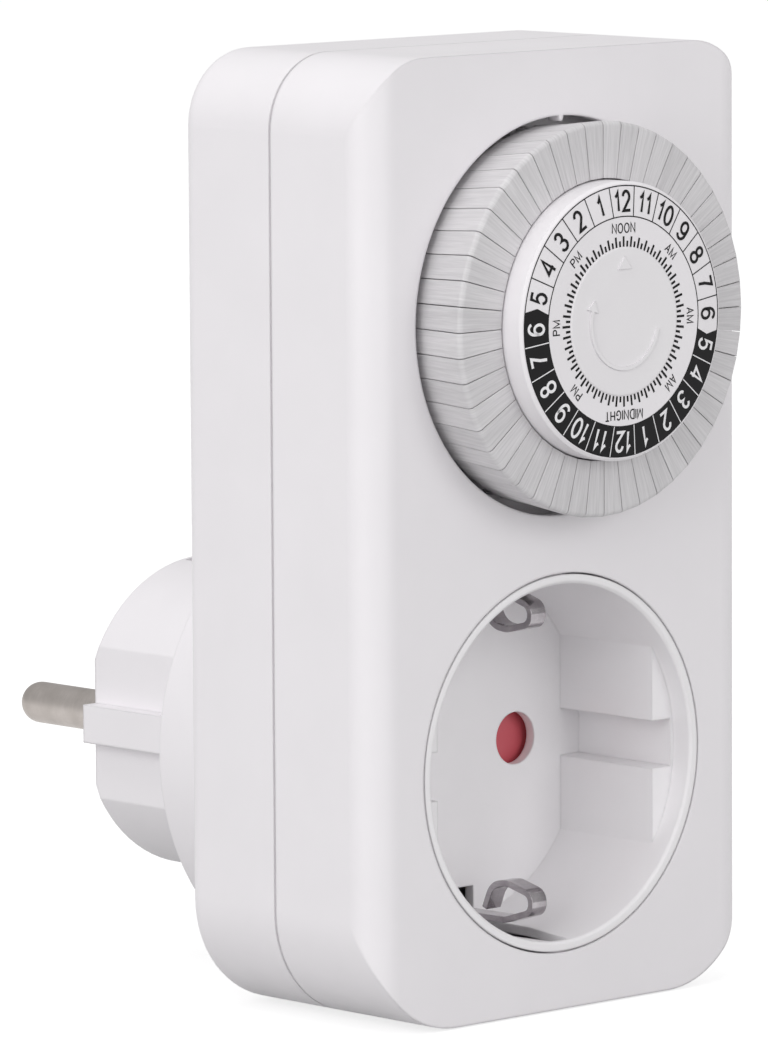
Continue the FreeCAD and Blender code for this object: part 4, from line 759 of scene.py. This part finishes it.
# Every second mark ends at the short radius, the others at the long one.
odd = calc(marks_tree, "MODULO", number, 2.0)
span = calc(marks_tree, "SUBTRACT", given["Short radius"], given["Long radius"])
far = calc(marks_tree, "MULTIPLY_ADD", odd, span, given["Long radius"])
length = calc(marks_tree, "SUBTRACT", far, given["Inner radius"])
middle = calc(marks_tree, "MULTIPLY", calc(marks_tree, "ADD", far, given["Inner radius"]), 0.5)
# A unit square, stood upright, is stretched to each mark's width and length.
mark = add(marks_tree, "GeometryNodeMeshGrid", {"Size X": 1.0, "Size Y": 1.0, "Vertices X": 2,
                                                "Vertices Y": 2})
upright = add(marks_tree, "GeometryNodeTransform", {"Geometry": mark.outputs[0],
                                                    "Rotation": (math.pi / 2, 0, 0)})
place_x = calc(marks_tree, "MULTIPLY", middle, calc(marks_tree, "SINE", spin))
place_z = calc(marks_tree, "MULTIPLY_ADD", middle, calc(marks_tree, "COSINE", spin),
               given["Axis height"])
spot = add(marks_tree, "ShaderNodeCombineXYZ", {0: place_x, 2: place_z})
set_out = add(marks_tree, "GeometryNodeSetPosition", {"Geometry": line.outputs[0],
                                                      "Position": spot.outputs[0]})
about_y = add(marks_tree, "ShaderNodeCombineXYZ", {1: spin})
stretch = add(marks_tree, "ShaderNodeCombineXYZ", {0: given["Width"], 1: 1.0, 2: length})
copies = add(marks_tree, "GeometryNodeInstanceOnPoints", {
    "Points": set_out.outputs[0], "Instance": upright.outputs[0], "Rotation": about_y.outputs[0],
    "Scale": stretch.outputs[0]})
real = add(marks_tree, "GeometryNodeRealizeInstances", {"Geometry": copies.outputs[0]})
# Each corner is laid on the face, which slopes back outside the flat edge.
there = add(marks_tree, "ShaderNodeSeparateXYZ", {
    0: add(marks_tree, "GeometryNodeInputPosition").outputs[0]})
rise = calc(marks_tree, "SUBTRACT", there.outputs[2], given["Axis height"])
aside = there.outputs[0]
squares = calc(marks_tree, "MULTIPLY_ADD", rise, rise, calc(marks_tree, "MULTIPLY", aside, aside))
reach = calc(marks_tree, "SQRT", squares)
past = calc(marks_tree, "MAXIMUM", calc(marks_tree, "SUBTRACT", reach, given["Flat edge"]), 0.0)
surface = calc(marks_tree, "MULTIPLY_ADD", past, given["Slope"], given["Face"])
laid = add(marks_tree, "ShaderNodeCombineXYZ", {
    1: calc(marks_tree, "SUBTRACT", surface, given["Lift"])})
draped = add(marks_tree, "GeometryNodeSetPosition", {"Geometry": real.outputs[0],
                                                     "Offset": laid.outputs[0]})
coated = add(marks_tree, "GeometryNodeSetMaterial", {"Geometry": draped.outputs[0],
                                                     "Material": given["Material"]})
add(marks_tree, "NodeGroupOutput", {"Geometry": coated.outputs[0]})


def marks(name, count, first_deg, step_deg, inner_mm, long_mm, short_mm, width_mm, lift_mm,
          material):
    """Run the tree for one ring of marks, which may be long and short in turn."""
    sizes = dict(MARKS)
    sizes.update({"First angle": math.radians(first_deg), "Step angle": math.radians(step_deg),
                  "Inner radius": inner_mm * MM, "Long radius": long_mm * MM,
                  "Short radius": short_mm * MM, "Width": width_mm * MM, "Lift": lift_mm * MM,
                  "Count": count})
    piece = grown(name, marks_tree, sizes, material)
    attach(piece, "dial")
    return piece


TICKS, TICK_INNER, TICK_LONG, TICK_SHORT, TICK_LINE = 96, 8.2, 9.35, 8.85, 0.27
NIGHT_LINE = 0.12
CELLS = 11

ticks = marks("quarter_hour_ticks", TICKS, 0.0, 360 / TICKS, TICK_INNER, TICK_LONG, TICK_SHORT,
              TICK_LINE, LIFT, black_ink)
marks("day_dividers", CELLS, -DAY_END, -HOUR_STEP, INNER, OUTER, OUTER, LINE, LIFT, black_ink)
marks("night_dividers", CELLS, DAY_END - HOUR_STEP, -HOUR_STEP, INNER, OUTER, OUTER, NIGHT_LINE,
      TOP_LIFT, white_ink)
printed("dial_print_black", black, black_ink)
printed("dial_night_band", band, black_ink)
printed("dial_print_white", white, white_ink)
print("ticks have", len(ticks.data.polygons), "faces")

# %% [markdown]
# ## The centre cap
# The cap is a thin white disc that closes the middle of the dial. A curved arrow and a small
# triangle stand up from it by less than a fifth of a millimetre and show which way the dial
# turns. The disc is a turned outline with a rounded rim. The arrow and the triangle are
# flat-topped solids, and the bevel in the cap's plastic softens the light on their edges.

# %% Cap with raised arrow and triangle
CAP_R = 8.15
CAP_RISE, ARROW_RISE, TRIANGLE_RISE, SUNK = 0.12, 0.19, 0.16, 0.01
CAP_TOP = FACE - CAP_RISE * MM
ARROW, WIDTH, HEAD, TIP_LEAN = 5.15, 0.42, 0.85, 0.1
ARROW_FROM, ARROW_TO, ARROW_TIP, ARROW_STEPS = 102.0, 286.0, 299.0, 48
TRIANGLE_TIP, TRIANGLE_BASE, TRIANGLE_HALF = 7.15, 5.85, 10.5


def turned_disc(mesh, outline, steps=96):
    """Turn a list of (radius in mm, y) points round the dial's axis."""
    rings = [[mesh.verts.new(around(r, 360.0 * i / steps, y)) for i in range(steps)]
             for r, y in outline[1:]]
    middle_point = mesh.verts.new(around(0, 0, outline[0][1]))
    for i in range(steps):
        mesh.faces.new((middle_point, rings[0][i], rings[0][(i + 1) % steps]))
    for near, far_ring in zip(rings, rings[1:]):
        for i in range(steps):
            j = (i + 1) % steps
            mesh.faces.new((near[i], far_ring[i], far_ring[j], near[j]))


def raised(mesh, loop, low_y, high_y):
    """A flat-topped solid from a closed loop of (radius, degrees) points."""
    top = [mesh.verts.new(around(r, a, high_y)) for r, a in loop]
    base = [mesh.verts.new(around(r, a, low_y)) for r, a in loop]
    mesh.faces.new(top)
    for i in range(len(loop)):
        j = (i + 1) % len(loop)
        mesh.faces.new((top[i], base[i], base[j], top[j]))


cap = bmesh.new()
# The outline runs from the centre out and turns down over the rim in two short steps.
turned_disc(cap, [(0, CAP_TOP), (CAP_R - 0.25, CAP_TOP), (CAP_R - 0.1, CAP_TOP + 0.02 * MM),
                  (CAP_R, CAP_TOP + 0.08 * MM), (CAP_R, FACE)])
sweep = [ARROW_FROM + (ARROW_TO - ARROW_FROM) * i / ARROW_STEPS for i in range(ARROW_STEPS + 1)]
arrow = [(ARROW + WIDTH / 2, a) for a in sweep]
arrow += [(ARROW + HEAD, ARROW_TO), (ARROW + TIP_LEAN, ARROW_TIP), (ARROW - HEAD, ARROW_TO)]
arrow += [(ARROW - WIDTH / 2, a) for a in reversed(sweep)]
raised(cap, arrow, CAP_TOP + SUNK * MM, CAP_TOP - ARROW_RISE * MM)
triangle = [(TRIANGLE_TIP, 0.0), (TRIANGLE_BASE, TRIANGLE_HALF), (TRIANGLE_BASE, -TRIANGLE_HALF)]
raised(cap, triangle, CAP_TOP + SUNK * MM, CAP_TOP - TRIANGLE_RISE * MM)
bmesh.ops.recalc_face_normals(cap, faces=cap.faces)
cap_mesh = bpy.data.meshes.new("centre_cap")
cap.to_mesh(cap_mesh)
cap.free()
cap_mesh.materials.append(cap_abs)
cap_piece = bpy.data.objects.new("centre_cap", cap_mesh)
scene.collection.objects.link(cap_piece)
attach(cap_piece, "dial")
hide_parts("dial_cap")
print("cap faces", len(cap_mesh.polygons))
